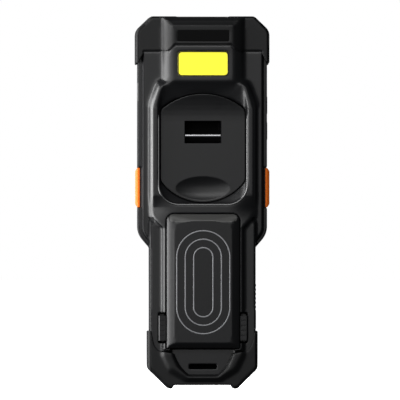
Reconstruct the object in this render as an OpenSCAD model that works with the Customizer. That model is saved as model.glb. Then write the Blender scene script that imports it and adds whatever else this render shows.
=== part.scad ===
// Rugged hand-held data terminal: a wide head with a display, a narrow grip with a keypad,
// a removable battery in the back of the grip and a strap plate sunk in a round-cornered recess.
// Z runs up along the terminal, -Y is its back, +Y is its display side. The origin is on the floor
// under its middle, so the two feet of the lower bumper stand on Z = 0.

/* [Overall] */
// Width of the upper housing, without the bumper
body_w = 77.2; // [76:0.2:96]
// Width of the grip
grip_w = 63.3; // [62:0.1:77]
// Depth from the battery's back to the bumpers' front
overall_d = 38; // [37:0.5:48]

/* [Lengths from the feet upwards] */
// Height of the tail below the battery
tail_h = 24.1; // [22:0.1:32]
// Length of the battery
battery_h = 76.1; // [74:0.1:96]
// Bridge between the battery and the recess
web_h = 9.3; // [8:0.1:14]
// Length of the recess that holds the strap plate
recess_h = 73.7; // [66:0.1:92]
// Length of the head above the recess
head_h = 39.4; // [38:0.1:50]

/* [Back] */
// Depth of the recess below the hump
recess_d = 4; // [3.5:0.1:7]
// Rise of the hump above the head's outer faces
hump_rise = 5.7; // [4:0.1:7]
// Rise of the battery above the hump
battery_rise = 3.5; // [2:0.1:4.5]
// Width of the recess at its rim
recess_w = 54.2; // [54:0.1:57]
// Width of the strap plate
plate_w = 50.5; // [46:0.5:52]
// Thickness of the strap plate
plate_t = 3; // [2.8:0.1:4]
// Diameter of the strap bar
bar_d = 2; // [1.8:0.1:2.4]

/* [Battery] */
// Width of the battery
battery_w = 44; // [40:0.5:44.5]
// Thickness of the battery
battery_t = 15.8; // [14.5:0.1:16]
// Wall of the battery's case
battery_wall = 1.4; // [1.2:0.1:1.8]
// Length of a battery latch
latch_h = 14.8; // [11:0.1:18]

/* [Side keys] */
// Length of a side trigger
trigger_h = 23.7; // [19:0.1:29]
// Stroke of a side trigger
trigger_stroke = 0.9; // [0.4:0.1:1]
// How far a trigger stands out of the housing
trigger_out = 1.55; // [1.2:0.05:2]
// Length of the port cover
port_h = 26.6; // [24:0.1:34]

/* [Keypad] */
// Spacing of the key columns
key_pitch_x = 14; // [13:0.1:14.2]
// Spacing of the key rows
key_pitch_z = 12.6; // [11.5:0.1:12.8]
// Width of a key
key_w = 12; // [9:0.1:12.4]
// Height of a key
key_h = 8.6; // [7:0.1:9.4]
// Stroke of a key
key_stroke = 0.8; // [0.4:0.1:0.8]

/* [Walls and clearances] */
// Wall of the upper housing
wall = 2.2; // [1.8:0.1:2.6]
// Side wall of the grip
grip_wall = 3.2; // [2.8:0.1:3.4]
// How far the bumpers stand out from the sides
bumper_out = 1.4; // [1:0.1:2]
// Clearance round a moving piece
clear = 0.25; // [0.15:0.05:0.35]

/* [Hidden] */
eps = 0.02;
$fn = 48;

body_r = body_w / 2;
grip_r = grip_w / 2;
plate_r = plate_w / 2;
battery_r = battery_w / 2;

// Heights
battery_z0 = tail_h;
battery_z1 = battery_z0 + battery_h;
recess_z0 = battery_z1 + web_h;
recess_z1 = recess_z0 + recess_h;
total_h = recess_z1 + head_h;
shoulder_z = battery_z1 - 16.2;
shoulder_top = shoulder_z + 8.5;
housing_z0 = 4.6;
housing_z1 = total_h - 3.2;

// Depths, from the back to the front
rear_y = -overall_d / 2;
front_y = overall_d / 2;
hump_y = rear_y + battery_rise;
rail_y = hump_y + 0.3;
grip_back_y = rail_y + 3.2;
tub_y = hump_y + hump_rise;
ledge_y = tub_y + 2.8;
seam_in = 2.6;
seam_w = 0.6;
seam_d = 0.9;
plate_y = hump_y + recess_d;
floor_y = plate_y + plate_t;
upper_cavity_y = max(floor_y, ledge_y) + 1.8;
bay_y = rear_y + battery_t + 0.2;
grip_cavity_y = bay_y + 1.8;
parting_y = 4;
face_t = 2.3;
face_y = front_y - 0.8;
face_inner_y = face_y - face_t;
skin = 0.9;

// Outlines of the head and the grip
shoulder_round = 12;
corner_round = 4;
end_round = 3;
head_top_r = body_r - 10;
head_corner_z = housing_z1 - 7.2;
bumper_r = body_r + bumper_out;
bumper_top_r = bumper_r - 9;
bumper_corner_z = total_h - 8.6;
bumper_corner_round = 7;
foot_r = grip_r - 11;
foot_corner_z = 12;
lower_bumper_r = grip_r + 1.2;

// Hump: half widths at its foot and along its crest
head_foot_r = 25;
head_crest_r = 18.5;
ridge_foot_r = recess_w / 2 + 5.5;
ridge_crest_r = recess_w / 2 + 3;
rail_foot_r = battery_r + 3.1;
rail_crest_r = battery_r + 1.1;
ridge_taper = 3;
ridge_round = 14;
ridge_corner = 5;

// Recess and strap plate
recess_round_low = 14;
recess_lip = 0.7;
recess_lip_d = 1;
plate_round = 4;
plate_z0 = recess_z0 + 1.8;
plate_z1 = recess_z1 - 7.1;
plate_arc_low = 31;
plate_arc_high = 38;
plate_curl_z = plate_z1 - 16;
plate_curl_round = 81;
seat_clear = 0.3;
slot_w = 21;
slot_z1 = plate_z1 - 16.4;
slot_z0 = slot_z1 - 12.8;
pocket_d = 4.8;
pocket_wall = 1.8;
bar_r = bar_d / 2;
bar_seat = 2.4;
bar_y = floor_y - bar_r - 0.3;
bar_z = slot_z0 + 4.3;
dip_r = 16.4;
dip_half = 7.1;
dip_depth = 2.2;
dip_z = plate_z0 + 8.4;

// Label and badge
label_size = [30.4, 14.9];
label_t = 0.3;
label_z = recess_z1 + 3.5;
badge_size = [31, 6.8];
badge_t = 0.5;
badge_z = total_h - 15.1;

// Battery
battery_arc = 82;
cap_h = 4.1;
cap_y = hump_y + 4.5;
cap_round = 4.5;
crown_arc = 52;
crown_z = battery_z1 + 0.3;
battery_edge = 4.4;
battery_side = 2.8;
battery_bevel = 3.2;
groove_w = 0.8;
groove_d = 0.35;
groove_step = 5.05;
groove_r = 16.25;
groove_margin_z = 8.8;
groove_margin_low = 8.8;
cell_r = battery_r - 5.4;
cell_gap = 0.3;
base_t = 1.4;
contact_x = [-9, -3, 3, 9];
contact_size = [3.2, 6];
contact_z = battery_z1 - 7.2;

// Battery latches
latch_z0 = battery_z0 + 4.7;
latch_z1 = latch_z0 + latch_h;
latch_w = 4.4;
latch_x0 = battery_r + 0.1;
latch_y0 = rail_y + 0.3;
latch_y1 = latch_y0 + 7;
latch_stroke = 1.2;
latch_notch_low = 1.5;
latch_notch_high = 1.9;
tongue_h = 6.5;
tongue_y0 = latch_y0 + 2.4;
tongue_y1 = tongue_y0 + 3;
tongue_in = 2.7;

// Rails and strap lug of the tail
rail_z0 = battery_z0 - 2;
lug_r = 8.4;
lug_z0 = 11.8;
lug_z1 = 14.6;
lug_y0 = grip_back_y + 4;
lug_y1 = lug_y0 + 4.6;
foot_gap_z = 2.1;

// Side triggers and side keys
trigger_z = battery_z1 + 8.1;
trigger_y0 = -5.8;
trigger_y1 = 1.5;
flange_x0 = body_r - 3.7;
flange_x1 = body_r - 2.5;
flange_rim = 0.9;
side_key_y0 = 5.2;
side_key_y1 = 9.6;
side_key_out = 0.7;
side_key_stroke = 0.6;
volume_down_z = recess_z1 - 34.7;
volume_up_z = recess_z1 - 19.2;
volume_h = 11.2;
power_y0 = -5.6;
power_y1 = -1.4;
power_z = recess_z1 - 11.4;
power_h = 11.2;

// Port cover
port_z = 35.8;
port_y0 = grip_back_y + 4;
port_y1 = 2.4;
port_t = 1.9;
rib_count = 6;
rib_h = 1.3;
rib_out = 0.5;
usb_z = port_z + 10.2;
usb_size = [8, 3.2, 9];

// Keypad
key_rows = 5;
key_cols = 4;
key_z0 = 31;
key_round = 2.2;
key_out = 0.6;
key_flange = 0.7;
key_flange_t = 1;
key_hole_clear = 0.2;
top_row_z = key_z0 + key_rows * key_pitch_z + 0.6;
scan_key_w = key_pitch_x + key_w;
flange_y1 = face_inner_y - 0.2;
flange_y0 = flange_y1 - key_flange_t;
dome_h = 1;
membrane_y1 = flange_y0 - key_stroke - 0.1 - dome_h;
membrane_y0 = membrane_y1 - 1.2;
keypad_r = max(1.5 * key_pitch_x + key_w / 2 + 1, grip_r - grip_wall - 0.45);
keypad_z0 = key_z0 - key_h / 2 - 1.6;
keypad_z1 = top_row_z + key_h / 2 + 1.2;

// Display
glass_z0 = keypad_z1 + 3.6;
glass_z1 = total_h - 22.6;
glass_r = body_r - 5.6;
glass_t = 1.2;
glass_round = 4;
ledge = 3.6;
module_t = 3.5;

// Inside
board_y0 = 2.2;
board_t = 1.4;
board_y1 = board_y0 + board_t;
board_low_r = grip_r - grip_wall - 0.4;
board_high_r = flange_x0 - trigger_stroke - 0.6;
board_z0 = 21;
board_z1 = total_h - 24;
window_r = 14.6;
window_y0 = -10;
window_y1 = 1.4;
engine_r = 12;
engine_y0 = hump_y + 2.5;
engine_y1 = 1.2;
engine_z0 = total_h - 22.5;
engine_z1 = total_h - 9;
speaker_z = total_h - 18.3;
speaker_slots = 7;
dock_r = 10;
dock_y0 = 6.6;
dock_y1 = 12;
dock_z0 = foot_gap_z + 0.2;
dock_z1 = 11;
dock_pin_count = 8;
dock_pin_pitch = 2.2;
screw_r = 1.1;
screw_head_r = 2;
screw_head_h = 1.6;
boss_r = 2.9;
top_screw = [head_crest_r + 7, total_h - 13];
low_screw = [17, 13];
screw_tip_y = face_inner_y - 2;

KEY_NAMES = [
    "key_star", "key_0", "key_hash", "key_enter",
    "key_7", "key_8", "key_9", "key_down",
    "key_4", "key_5", "key_6", "key_up",
    "key_1", "key_2", "key_3", "key_back",
    "key_f1", "key_f2", "key_f3", "key_f4"
];
TOP_NAMES = ["key_left", "key_scan", "key_right"];

// ---- Outline helpers ----

function unit(v) = v / norm(v);

// The arc that rounds the corner at b, between a and c, to radius r
function corner(a, b, c, r) =
    let (
        u = unit(a - b),
        v = unit(c - b),
        half = acos(max(-1, min(1, u * v))) / 2,
        mid = b + unit(u + v) * r / sin(half),
        p = b + u * r / tan(half) - mid,
        q = b + v * r / tan(half) - mid,
        start = atan2(p.y, p.x),
        turn = atan2(q.y, q.x) - start,
        sweep = turn > 180 ? turn - 360 : turn < -180 ? turn + 360 : turn,
        n = max(2, ceil(abs(sweep) / (r > 6 ? 9 : 18)))
    )
    [for (i = [0:n]) mid + r * [cos(start + sweep * i / n), sin(start + sweep * i / n)]];

// A closed path of [x, y, r] corners, with each r rounded
function rounded(path) =
    let (n = len(path))
    [for (i = [0:n - 1])
        let (
            a = path[(i + n - 1) % n],
            b = path[i],
            c = path[(i + 1) % n]
        )
        each (b[2] > 0
            ? corner([a.x, a.y], [b.x, b.y], [c.x, c.y], b[2])
            : [[b.x, b.y]])];

// Right-hand corners and their mirror image, as one closed path
function both_sides(right) = concat(
    right,
    [for (i = [len(right) - 1:-1:0]) [-right[i].x, right[i].y, right[i][2]]]
);

function box_path(r, z0, z1, low, high) =
    both_sides([[r, z0, low], [r, z1, high]]);

// 2D drawn in X and Z, extruded along Y
module extrude_y(y0, y1) {
    translate([0, y1, 0])
        rotate([90, 0, 0])
            linear_extrude(y1 - y0)
                children();
}

// 2D drawn in Y and Z, extruded along X
module extrude_x(x0, x1) {
    translate([x0, 0, 0])
        rotate([90, 0, 90])
            linear_extrude(x1 - x0)
                children();
}

// 2D drawn in X and Y, extruded along Z
module extrude_z(z0, z1) {
    translate([0, 0, z0])
        linear_extrude(z1 - z0)
            children();
}

module box_between(low, high) {
    translate(low)
        cube(high - low);
}

// A cylinder along Y
module rod_y(x, z, y0, y1, r) {
    translate([x, y1, z])
        rotate([90, 0, 0])
            cylinder(h = y1 - y0, r = r);
}

// A thin rounded plate at depth y, for hull()
module slab(y, r, z0, z1, low, high) {
    extrude_y(y, y + eps)
        polygon(rounded(box_path(r, z0, z1, low, high)));
}

// The same with any right-hand outline
module outline_slab(y, right) {
    extrude_y(y, y + eps)
        polygon(rounded(both_sides(right)));
}

module left_and_right() {
    children();
    mirror([1, 0, 0])
        children();
}

// ---- Outside form of the housings ----

// Head outline from the shoulders to its bevelled upper corners
module head_outline(r, top_r, corner_z, top_z, round_out = corner_round) {
    polygon(rounded(both_sides([
        [grip_r - 2, shoulder_z - 2, 0],
        [r, shoulder_top, shoulder_round],
        [r, corner_z, round_out],
        [top_r, top_z, end_round]
    ])));
}

module housing_head_outline() {
    head_outline(body_r, head_top_r, head_corner_z, housing_z1);
}

// Grip outline with the bevelled lower corners
module grip_outline(r, foot, low_z, corner_z, top_z) {
    polygon(rounded(both_sides([
        [foot, low_z, 2],
        [r, corner_z, corner_round],
        [r, top_z, 0]
    ])));
}

module housing_grip_outline() {
    grip_outline(grip_r, foot_r + 1.2, housing_z0, foot_corner_z + 2.5, battery_z1);
}

module head_layer(y0, y1, inset) {
    extrude_y(y0, y1)
        offset(delta = -inset)
            housing_head_outline();
}

module grip_layer(y0, y1, inset) {
    extrude_y(y0, y1)
        offset(delta = -inset)
            housing_grip_outline();
}

module rear_head_form() {
    hull() {
        head_layer(tub_y, tub_y + 0.3, 3.1);
        head_layer(tub_y + 0.5, tub_y + 0.8, 2.75);
        head_layer(ledge_y, parting_y, seam_in);
    }
    head_layer(ledge_y, parting_y, 0);
}

module rear_grip_form() {
    hull() {
        grip_layer(grip_back_y, grip_back_y + 0.3, 0.7);
        grip_layer(grip_back_y + 0.5, grip_back_y + 0.8, 0.2);
        grip_layer(grip_back_y + 1.5, parting_y, 0);
    }
}

module front_head_form() {
    hull() {
        head_layer(parting_y, face_y - 4, 0);
        head_layer(face_y - 1.6, face_y - 1, 1);
        head_layer(face_y - 0.3, face_y, 2.8);
    }
}

module front_grip_form() {
    hull() {
        grip_layer(parting_y, face_y - 4, 0);
        grip_layer(face_y - 1.6, face_y - 1, 1);
        grip_layer(face_y - 0.3, face_y, 2.8);
    }
}

// The raised middle of the head, which the recess and the label sit in
module head_hump() {
    hull() {
        slab(tub_y, head_foot_r, recess_z1 - 30, housing_z1, 3, 3);
        slab(hump_y, head_crest_r, recess_z1 - 30, housing_z1, 3, 3);
    }
}

// The ridge round the recess
module ridge_hump() {
    hull() {
        outline_slab(tub_y, [
            [rail_foot_r - 0.6, battery_z1 - 6.4, 2],
            [ridge_foot_r, battery_z1 + 2.4, 9],
            [ridge_foot_r, recess_z1 - 12, ridge_round],
            [ridge_foot_r - ridge_taper - 2.3, recess_z1 + 2.4, ridge_corner]
        ]);
        outline_slab(hump_y, [
            [rail_crest_r - 0.4, battery_z1 - 4.6, 2],
            [ridge_crest_r, battery_z1 + 3.4, 8],
            [ridge_crest_r, recess_z1 - 15, ridge_round],
            [ridge_crest_r - ridge_taper - 1.4, recess_z1 - 1.8, ridge_corner]
        ]);
    }
}

// The rails along both sides of the battery
module rail_hump() {
    hull() {
        slab(grip_back_y, rail_foot_r, rail_z0 - 1, recess_z0, 2, 3);
        slab(rail_y, rail_crest_r, rail_z0 + 1, recess_z0 - 3, 2, 3);
    }
}

// ---- Strap plate and its recess ----

module plate_outline(grow) {
    offset(r = plate_round + grow)
        offset(delta = -plate_round)
            intersection() {
                translate([-plate_r, plate_z0])
                    square([plate_w, plate_z1 - plate_z0]);
                union() {
                    translate([0, plate_z1 - plate_arc_high])
                        circle(r = plate_arc_high, $fn = 96);
                    translate([-plate_r, plate_z0])
                        square([plate_w, (plate_z1 - plate_z0) / 2]);
                }
                union() {
                    translate([0, plate_z0 + plate_arc_low])
                        circle(r = plate_arc_low, $fn = 96);
                    translate([-plate_r, (plate_z0 + plate_z1) / 2])
                        square([plate_w, (plate_z1 - plate_z0) / 2]);
                }
            }
}

// Outline of the recess at depth y, drawn in by inset from its edge on the ridge
module recess_slab(y, inset) {
    r = recess_w / 2 - inset;
    outline_slab(y, [
        [r, recess_z0 + inset, recess_round_low - inset],
        [r, recess_z1 - 14.5, ridge_round],
        [r - ridge_taper, recess_z1 - inset, ridge_corner - inset]
    ]);
}

module recess_bowl() {
    hull() {
        recess_slab(hump_y - eps, 0);
        recess_slab(hump_y + recess_lip_d, recess_lip);
    }
    hull() {
        recess_slab(hump_y + recess_lip_d, recess_lip);
        extrude_y(plate_y, plate_y + eps)
            plate_outline(seat_clear);
    }
    extrude_y(plate_y - 0.5, floor_y)
        plate_outline(seat_clear - 0.05);
}

module strap_slot(y0, y1, grow) {
    extrude_y(y0, y1)
        translate([-slot_w / 2 - grow, slot_z0 - grow])
            square([slot_w + 2 * grow, slot_z1 - slot_z0 + 2 * grow]);
}

// The dip for the thumb: a barrel turned about a line along X, in front of the plate
module thumb_dip() {
    barrel_r = (dip_half * dip_half / dip_depth + dip_depth) / 2;
    bow = (dip_r * dip_r + dip_depth * dip_depth) / (2 * dip_depth);
    translate([0, plate_y + dip_depth - barrel_r, dip_z])
        rotate([0, 90, 0])
            rotate_extrude()
                intersection() {
                    translate([barrel_r - bow, 0])
                        circle(r = bow, $fn = 180);
                    translate([0, -dip_r])
                        square([barrel_r, 2 * dip_r]);
                }
}

module strap_plate() {
    curl_top = 30;
    color("#303134")
    difference() {
        intersection() {
            extrude_y(rear_y, floor_y)
                plate_outline(0);
            extrude_x(-plate_r, plate_r)
                polygon(concat(
                    [[floor_y, plate_z0 - 1], [plate_y, plate_z0 - 1]],
                    [for (i = [0:6])
                        let (t = i * 2.2)
                        [plate_y - plate_curl_round * (1 - cos(t)), plate_curl_z + plate_curl_round * sin(t)]],
                    [[floor_y, plate_z1 + curl_top]]
                ));
        }
        strap_slot(rear_y, floor_y + 1, 0);
        thumb_dip();
        translate([-slot_w / 2 - bar_seat, bar_y, bar_z])
            rotate([0, 90, 0])
                cylinder(h = slot_w + 2 * bar_seat, r = bar_r + 0.02);
        box_between(
            [-slot_w / 2 - bar_seat, bar_y, bar_z - bar_r - 0.02],
            [slot_w / 2 + bar_seat, floor_y + 1, bar_z + bar_r + 0.02]
        );
    }
}

module strap_bar() {
    length = slot_w + 2 * bar_seat - 0.2;
    color("#b9bcc0")
    translate([-length / 2, bar_y, bar_z])
        rotate([0, 90, 0])
            cylinder(h = length, r = bar_r);
}

// ---- Battery ----

module battery_outline(grow) {
    intersection() {
        translate([-battery_r - grow, battery_z0 - grow])
            square([battery_w + 2 * grow, battery_h + 2 * grow]);
        translate([0, battery_z1 - battery_arc])
            circle(r = battery_arc + grow, $fn = 180);
    }
}

// The cap at the battery's upper end, which reaches over the housing
module battery_cap(grow, back_y) {
    extrude_y(back_y, cap_y + grow)
        polygon(rounded(box_path(
            battery_r + grow,
            battery_z1 - 14,
            battery_z1 + cap_h + grow,
            0,
            cap_round + grow
        )));
}

// What the slope from the battery's back down to the upper edge of its cap leaves
module battery_crown() {
    r = battery_r + 2;
    front = bay_y + 1;
    hull() {
        extrude_y(rear_y - 0.1, rear_y + 0.1)
            intersection() {
                translate([-r, battery_z0 - 5])
                    square([2 * r, battery_h + 20]);
                translate([0, crown_z - crown_arc])
                    circle(r = crown_arc, $fn = 144);
            }
        extrude_y(hump_y, front)
            translate([-r, battery_z0 - 5])
                square([2 * r, battery_h + cap_h + 5]);
    }
}

module battery_form(grow, back_y, front) {
    r = battery_r + grow;
    intersection() {
        union() {
            extrude_y(back_y, front)
                battery_outline(grow);
            battery_cap(grow, back_y);
        }
        extrude_z(battery_z0 - 1, battery_z1 + cap_h + 1)
            polygon(rounded(both_sides([
                [r, front, 0],
                [r, rear_y + battery_side, 3],
                [r - battery_edge, rear_y - grow, 9]
            ])));
        extrude_x(-r, r)
            polygon(rounded([
                [front, battery_z0 - grow, 0],
                [rear_y + battery_bevel, battery_z0 - grow, 0.8],
                [rear_y - grow, battery_z0 + battery_bevel - grow, 2],
                [rear_y - grow, battery_z1 + cap_h + 1, 0],
                [front, battery_z1 + cap_h + 1, 0]
            ]));
    }
}

// One line of the pattern on the battery: a groove along a stadium outline
module stadium(r, z0, z1) {
    hull() {
        translate([0, z0 + r])
            circle(r = r);
        translate([0, z1 - r])
            circle(r = r);
    }
}

module groove_outline(i) {
    r = groove_r - i * groove_step;
    z0 = battery_z0 + groove_margin_low + i * groove_step;
    z1 = battery_z1 - groove_margin_z + 2.6 - i * groove_step;
    difference() {
        stadium(r, z0, z1);
        stadium(r - groove_w, z0 + groove_w, z1 - groove_w);
    }
}

module latch_recesses() {
    left_and_right() {
        box_between(
            [battery_r - latch_stroke - 0.3, latch_y0 - 0.1, latch_z0 - 0.4],
            [battery_r + 1, latch_y1 + 0.5, latch_z1 + 0.4]
        );
        box_between(
            [battery_r - tongue_in - latch_stroke - 0.4, tongue_y0 - 0.3, latch_mid() - tongue_h / 2 - 0.3],
            [battery_r + 1, tongue_y1 + 0.3, latch_mid() + tongue_h / 2 + 0.3]
        );
    }
}

function latch_mid() = (latch_z0 + latch_z1) / 2;

module battery_cover() {
    front = bay_y - 0.2;
    color("#2a2b2d")
    difference() {
        intersection() {
            battery_form(0, rear_y, front);
            battery_crown();
        }
        extrude_y(rear_y - 1, rear_y + groove_d)
            for (i = [0:2])
                groove_outline(i);
        box_between(
            [-cell_r - 0.3, rear_y + battery_wall, battery_z0 + 4],
            [cell_r + 0.3, front + 1, battery_z1 - 4]
        );
        extrude_y(front - base_t - 0.05, front + 1)
            offset(delta = -battery_wall)
                battery_outline(0);
        latch_recesses();
    }
}

module battery_base() {
    front = bay_y - 0.2;
    color("#1d1e20")
    difference() {
        extrude_y(front - base_t, front)
            offset(delta = -battery_wall - 0.1)
                battery_outline(0);
        for (x = contact_x)
            box_between(
                [x - contact_size.x / 2, front - 0.4, contact_z - contact_size.y / 2],
                [x + contact_size.x / 2, front + 1, contact_z + contact_size.y / 2]
            );
    }
}

module battery_cells() {
    front = bay_y - 0.2 - base_t - 0.1;
    color("#3c5a86")
    left_and_right()
        extrude_z(battery_z0 + 4.2, battery_z1 - 4.2)
            polygon(rounded([
                [cell_gap / 2, rear_y + battery_wall + 0.1, 2],
                [cell_r, rear_y + battery_wall + 0.1, 2],
                [cell_r, front, 2],
                [cell_gap / 2, front, 2]
            ]));
}

module battery_contacts() {
    front = bay_y - 0.2;
    color("#d0a948")
    for (x = contact_x)
        box_between(
            [x - contact_size.x / 2, front - 0.4, contact_z - contact_size.y / 2],
            [x + contact_size.x / 2, front, contact_z + contact_size.y / 2]
        );
}

// A squeeze latch: a ribbed finger bar with a guide tongue that runs into the battery
module latch() {
    bar = [
        [latch_x0, latch_y1, 0],
        [latch_x0, latch_y0, 0.3],
        [latch_x0 + latch_w - 0.5, latch_y0, 0.2],
        [latch_x0 + latch_w, latch_y0 + 0.5, 0.2],
        [latch_x0 + latch_w, latch_y1, 0]
    ];
    groove = 0.8;
    color("#232426") {
        difference() {
            extrude_z(latch_z0, latch_z1)
                polygon(rounded(bar));
            for (i = [1:4])
                box_between(
                    [latch_x0 + 0.8, latch_y0 - 1, latch_z0 + i * latch_h / 5 - groove / 2],
                    [latch_x0 + latch_w - 0.9, latch_y0 + 0.5, latch_z0 + i * latch_h / 5 + groove / 2]
                );
        }
        box_between(
            [latch_x0 - tongue_in, tongue_y0, latch_mid() - tongue_h / 2],
            [latch_x0 + 0.5, tongue_y1, latch_mid() + tongue_h / 2]
        );
    }
}

module battery_latch_right() {
    latch();
}

module battery_latch_left() {
    mirror([1, 0, 0])
        latch();
}

// ---- Openings cut in the housings ----

module bay_cut() {
    battery_form(clear, rear_y - 1, bay_y);
    box_between([-battery_r + 6, rear_y - 3, battery_z0 + 3], [battery_r - 6, bay_y - 1, battery_z1 - 8]);
    left_and_right()
        box_between(
            [battery_r, rear_y - 1, latch_z0 - latch_notch_low],
            [latch_x0 + latch_w + 0.15, latch_y1 + 0.4, latch_z1 + latch_notch_high]
        );
}

module lug_channel() {
    box_between([-lug_r, rear_y, lug_z0], [lug_r, lug_y1, lug_z1]);
    box_between([-lug_r, lug_y0, -1], [lug_r, lug_y1, lug_z1]);
}

module trigger_cut() {
    left_and_right() {
        box_between(
            [flange_x0 - trigger_stroke - 0.1, trigger_y0 - clear, trigger_z - clear],
            [body_r + 3, trigger_y1 + clear, trigger_z + trigger_h + clear]
        );
        box_between(
            [body_r - seam_in + 0.8, ledge_y - 1, trigger_z - clear],
            [body_r + 3, trigger_y0 + 1, trigger_z + trigger_h + clear]
        );
    }
}

module side_key_cut(y0, y1, z0, h) {
    box_between(
        [flange_x0 - side_key_stroke - 0.2, y0 - clear, z0 - clear],
        [body_r + 3, y1 + clear, z0 + h + clear]
    );
}

// Section of the skin that the port cover fills, in X and Y
function port_section(out, depth, room) = [
    [grip_r + out, port_y1 + room, 0],
    [grip_r + out, port_y0 - room, max(0, 0.3 - room)],
    [grip_r - depth, port_y0 - room, 0],
    [grip_r - depth, port_y1 + room, 0]
];

module port_cut() {
    extrude_z(port_z - clear, port_z + port_h + clear)
        polygon(rounded(port_section(3, port_t, clear)));
    box_between(
        [grip_r - grip_wall - 1, -1.9, usb_z - 0.6],
        [grip_r, port_y1, usb_z + usb_size.z + 0.6]
    );
}

module screw_places() {
    for (side = [-1, 1]) {
        translate([side * top_screw.x, 0, top_screw.y])
            children();
        translate([side * low_screw.x, 0, low_screw.y])
            children();
    }
}

// ---- Housings ----

// Narrow groove where the back's raised part meets the ledge
module seam_groove() {
    extrude_y(ledge_y - 0.1, ledge_y + seam_d)
        intersection() {
            difference() {
                offset(delta = seam_w - seam_in)
                    housing_head_outline();
                offset(delta = -seam_in)
                    housing_head_outline();
            }
            translate([-body_r, shoulder_top + 2])
                square([body_w, total_h]);
        }
}

module slot_pocket_walls() {
    strap_slot(upper_cavity_y - 1, floor_y + pocket_d + pocket_wall, pocket_wall + 0.2);
}

module rear_cavity() {
    extrude_y(upper_cavity_y, parting_y + 1)
        offset(delta = -wall)
            intersection() {
                housing_head_outline();
                translate([-body_r, shoulder_z + 4])
                    square([body_w, total_h]);
            }
    extrude_y(grip_cavity_y, parting_y + 1)
        offset(delta = -grip_wall)
            housing_grip_outline();
    box_between(
        [-head_crest_r + 2.2, hump_y + 2.4, recess_z1 + 3],
        [head_crest_r - 2.2, upper_cavity_y + 1, housing_z1 - 3]
    );
}

module rear_housing() {
    color("#2e2f31")
    difference() {
        union() {
            difference() {
                union() {
                    rear_head_form();
                    rear_grip_form();
                    head_hump();
                    ridge_hump();
                    rail_hump();
                }
                rear_cavity();
            }
            slot_pocket_walls();
            screw_places()
                rod_y(0, 0, upper_cavity_y - 1, parting_y, boss_r);
        }
        recess_bowl();
        seam_groove();
        tail_recess();
        strap_slot(floor_y - 1, floor_y + pocket_d, 0);
        bay_cut();
        lug_channel();
        trigger_cut();
        mirror([1, 0, 0])
            side_key_cut(power_y0, power_y1, power_z, power_h);
        port_cut();
        gasket_ring(0.05);
        screw_places() {
            rod_y(0, 0, rear_y, -4, screw_head_r + 0.2);
            rod_y(0, 0, -5, parting_y + 1, screw_r + 0.1);
        }
        label_seat();
        box_between([-12.2, bay_y - 1, contact_z - 4.2], [12.2, grip_cavity_y + 1, contact_z + 4.2]);
        box_between([-13, window_y0 + 1, housing_z1 - 5], [13, window_y1 - 1, total_h]);
        box_between(
            [-window_r - 0.1, window_y0 - 0.1, housing_z1 - 1.4],
            [window_r + 0.1, window_y1 + 0.1, total_h]
        );
    }
}

module gasket_ring(grow) {
    extrude_y(parting_y - 0.5 - grow, parting_y + 0.5 + grow)
        difference() {
            offset(delta = -0.7 + grow)
                housing_outline();
            offset(delta = -1.5 - grow)
                housing_outline();
        }
}

module housing_outline() {
    housing_head_outline();
    housing_grip_outline();
}

module housing_gasket() {
    color("#111111")
    gasket_ring(0);
}

module label_seat() {
    extrude_y(hump_y - 1, hump_y + label_t)
        polygon(rounded(box_path(label_size.x / 2 + 0.6, label_z - 0.6, label_z + label_size.y + 0.6, 2.4, 2.4)));
}

module yellow_label() {
    color("#e3dc3c")
    extrude_y(hump_y, hump_y + label_t)
        polygon(rounded(box_path(label_size.x / 2, label_z, label_z + label_size.y, 2, 2)));
}

// Key places: [x, z, width]
function grid_key(i) = [
    (1.5 - (i % key_cols)) * key_pitch_x,
    key_z0 + floor(i / key_cols) * key_pitch_z,
    key_w
];
function top_key(i) = [(1 - i) * 1.5 * key_pitch_x, top_row_z, i == 1 ? scan_key_w : key_w];
ALL_KEYS = concat(
    [for (i = [0:key_rows * key_cols - 1]) grid_key(i)],
    [for (i = [0:2]) top_key(i)]
);

module key_outline(place, grow) {
    translate([place[0], 0])
        polygon(rounded(box_path(
            place[2] / 2 + grow,
            place[1] - key_h / 2 - grow,
            place[1] + key_h / 2 + grow,
            key_round,
            key_round
        )));
}

module front_cavity() {
    extrude_y(parting_y - 1, face_inner_y)
        offset(delta = -wall)
            intersection() {
                housing_head_outline();
                translate([-body_r, shoulder_z + 4])
                    square([body_w, total_h]);
            }
    extrude_y(parting_y - 1, face_inner_y)
        offset(delta = -grip_wall)
            housing_grip_outline();
}

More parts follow.
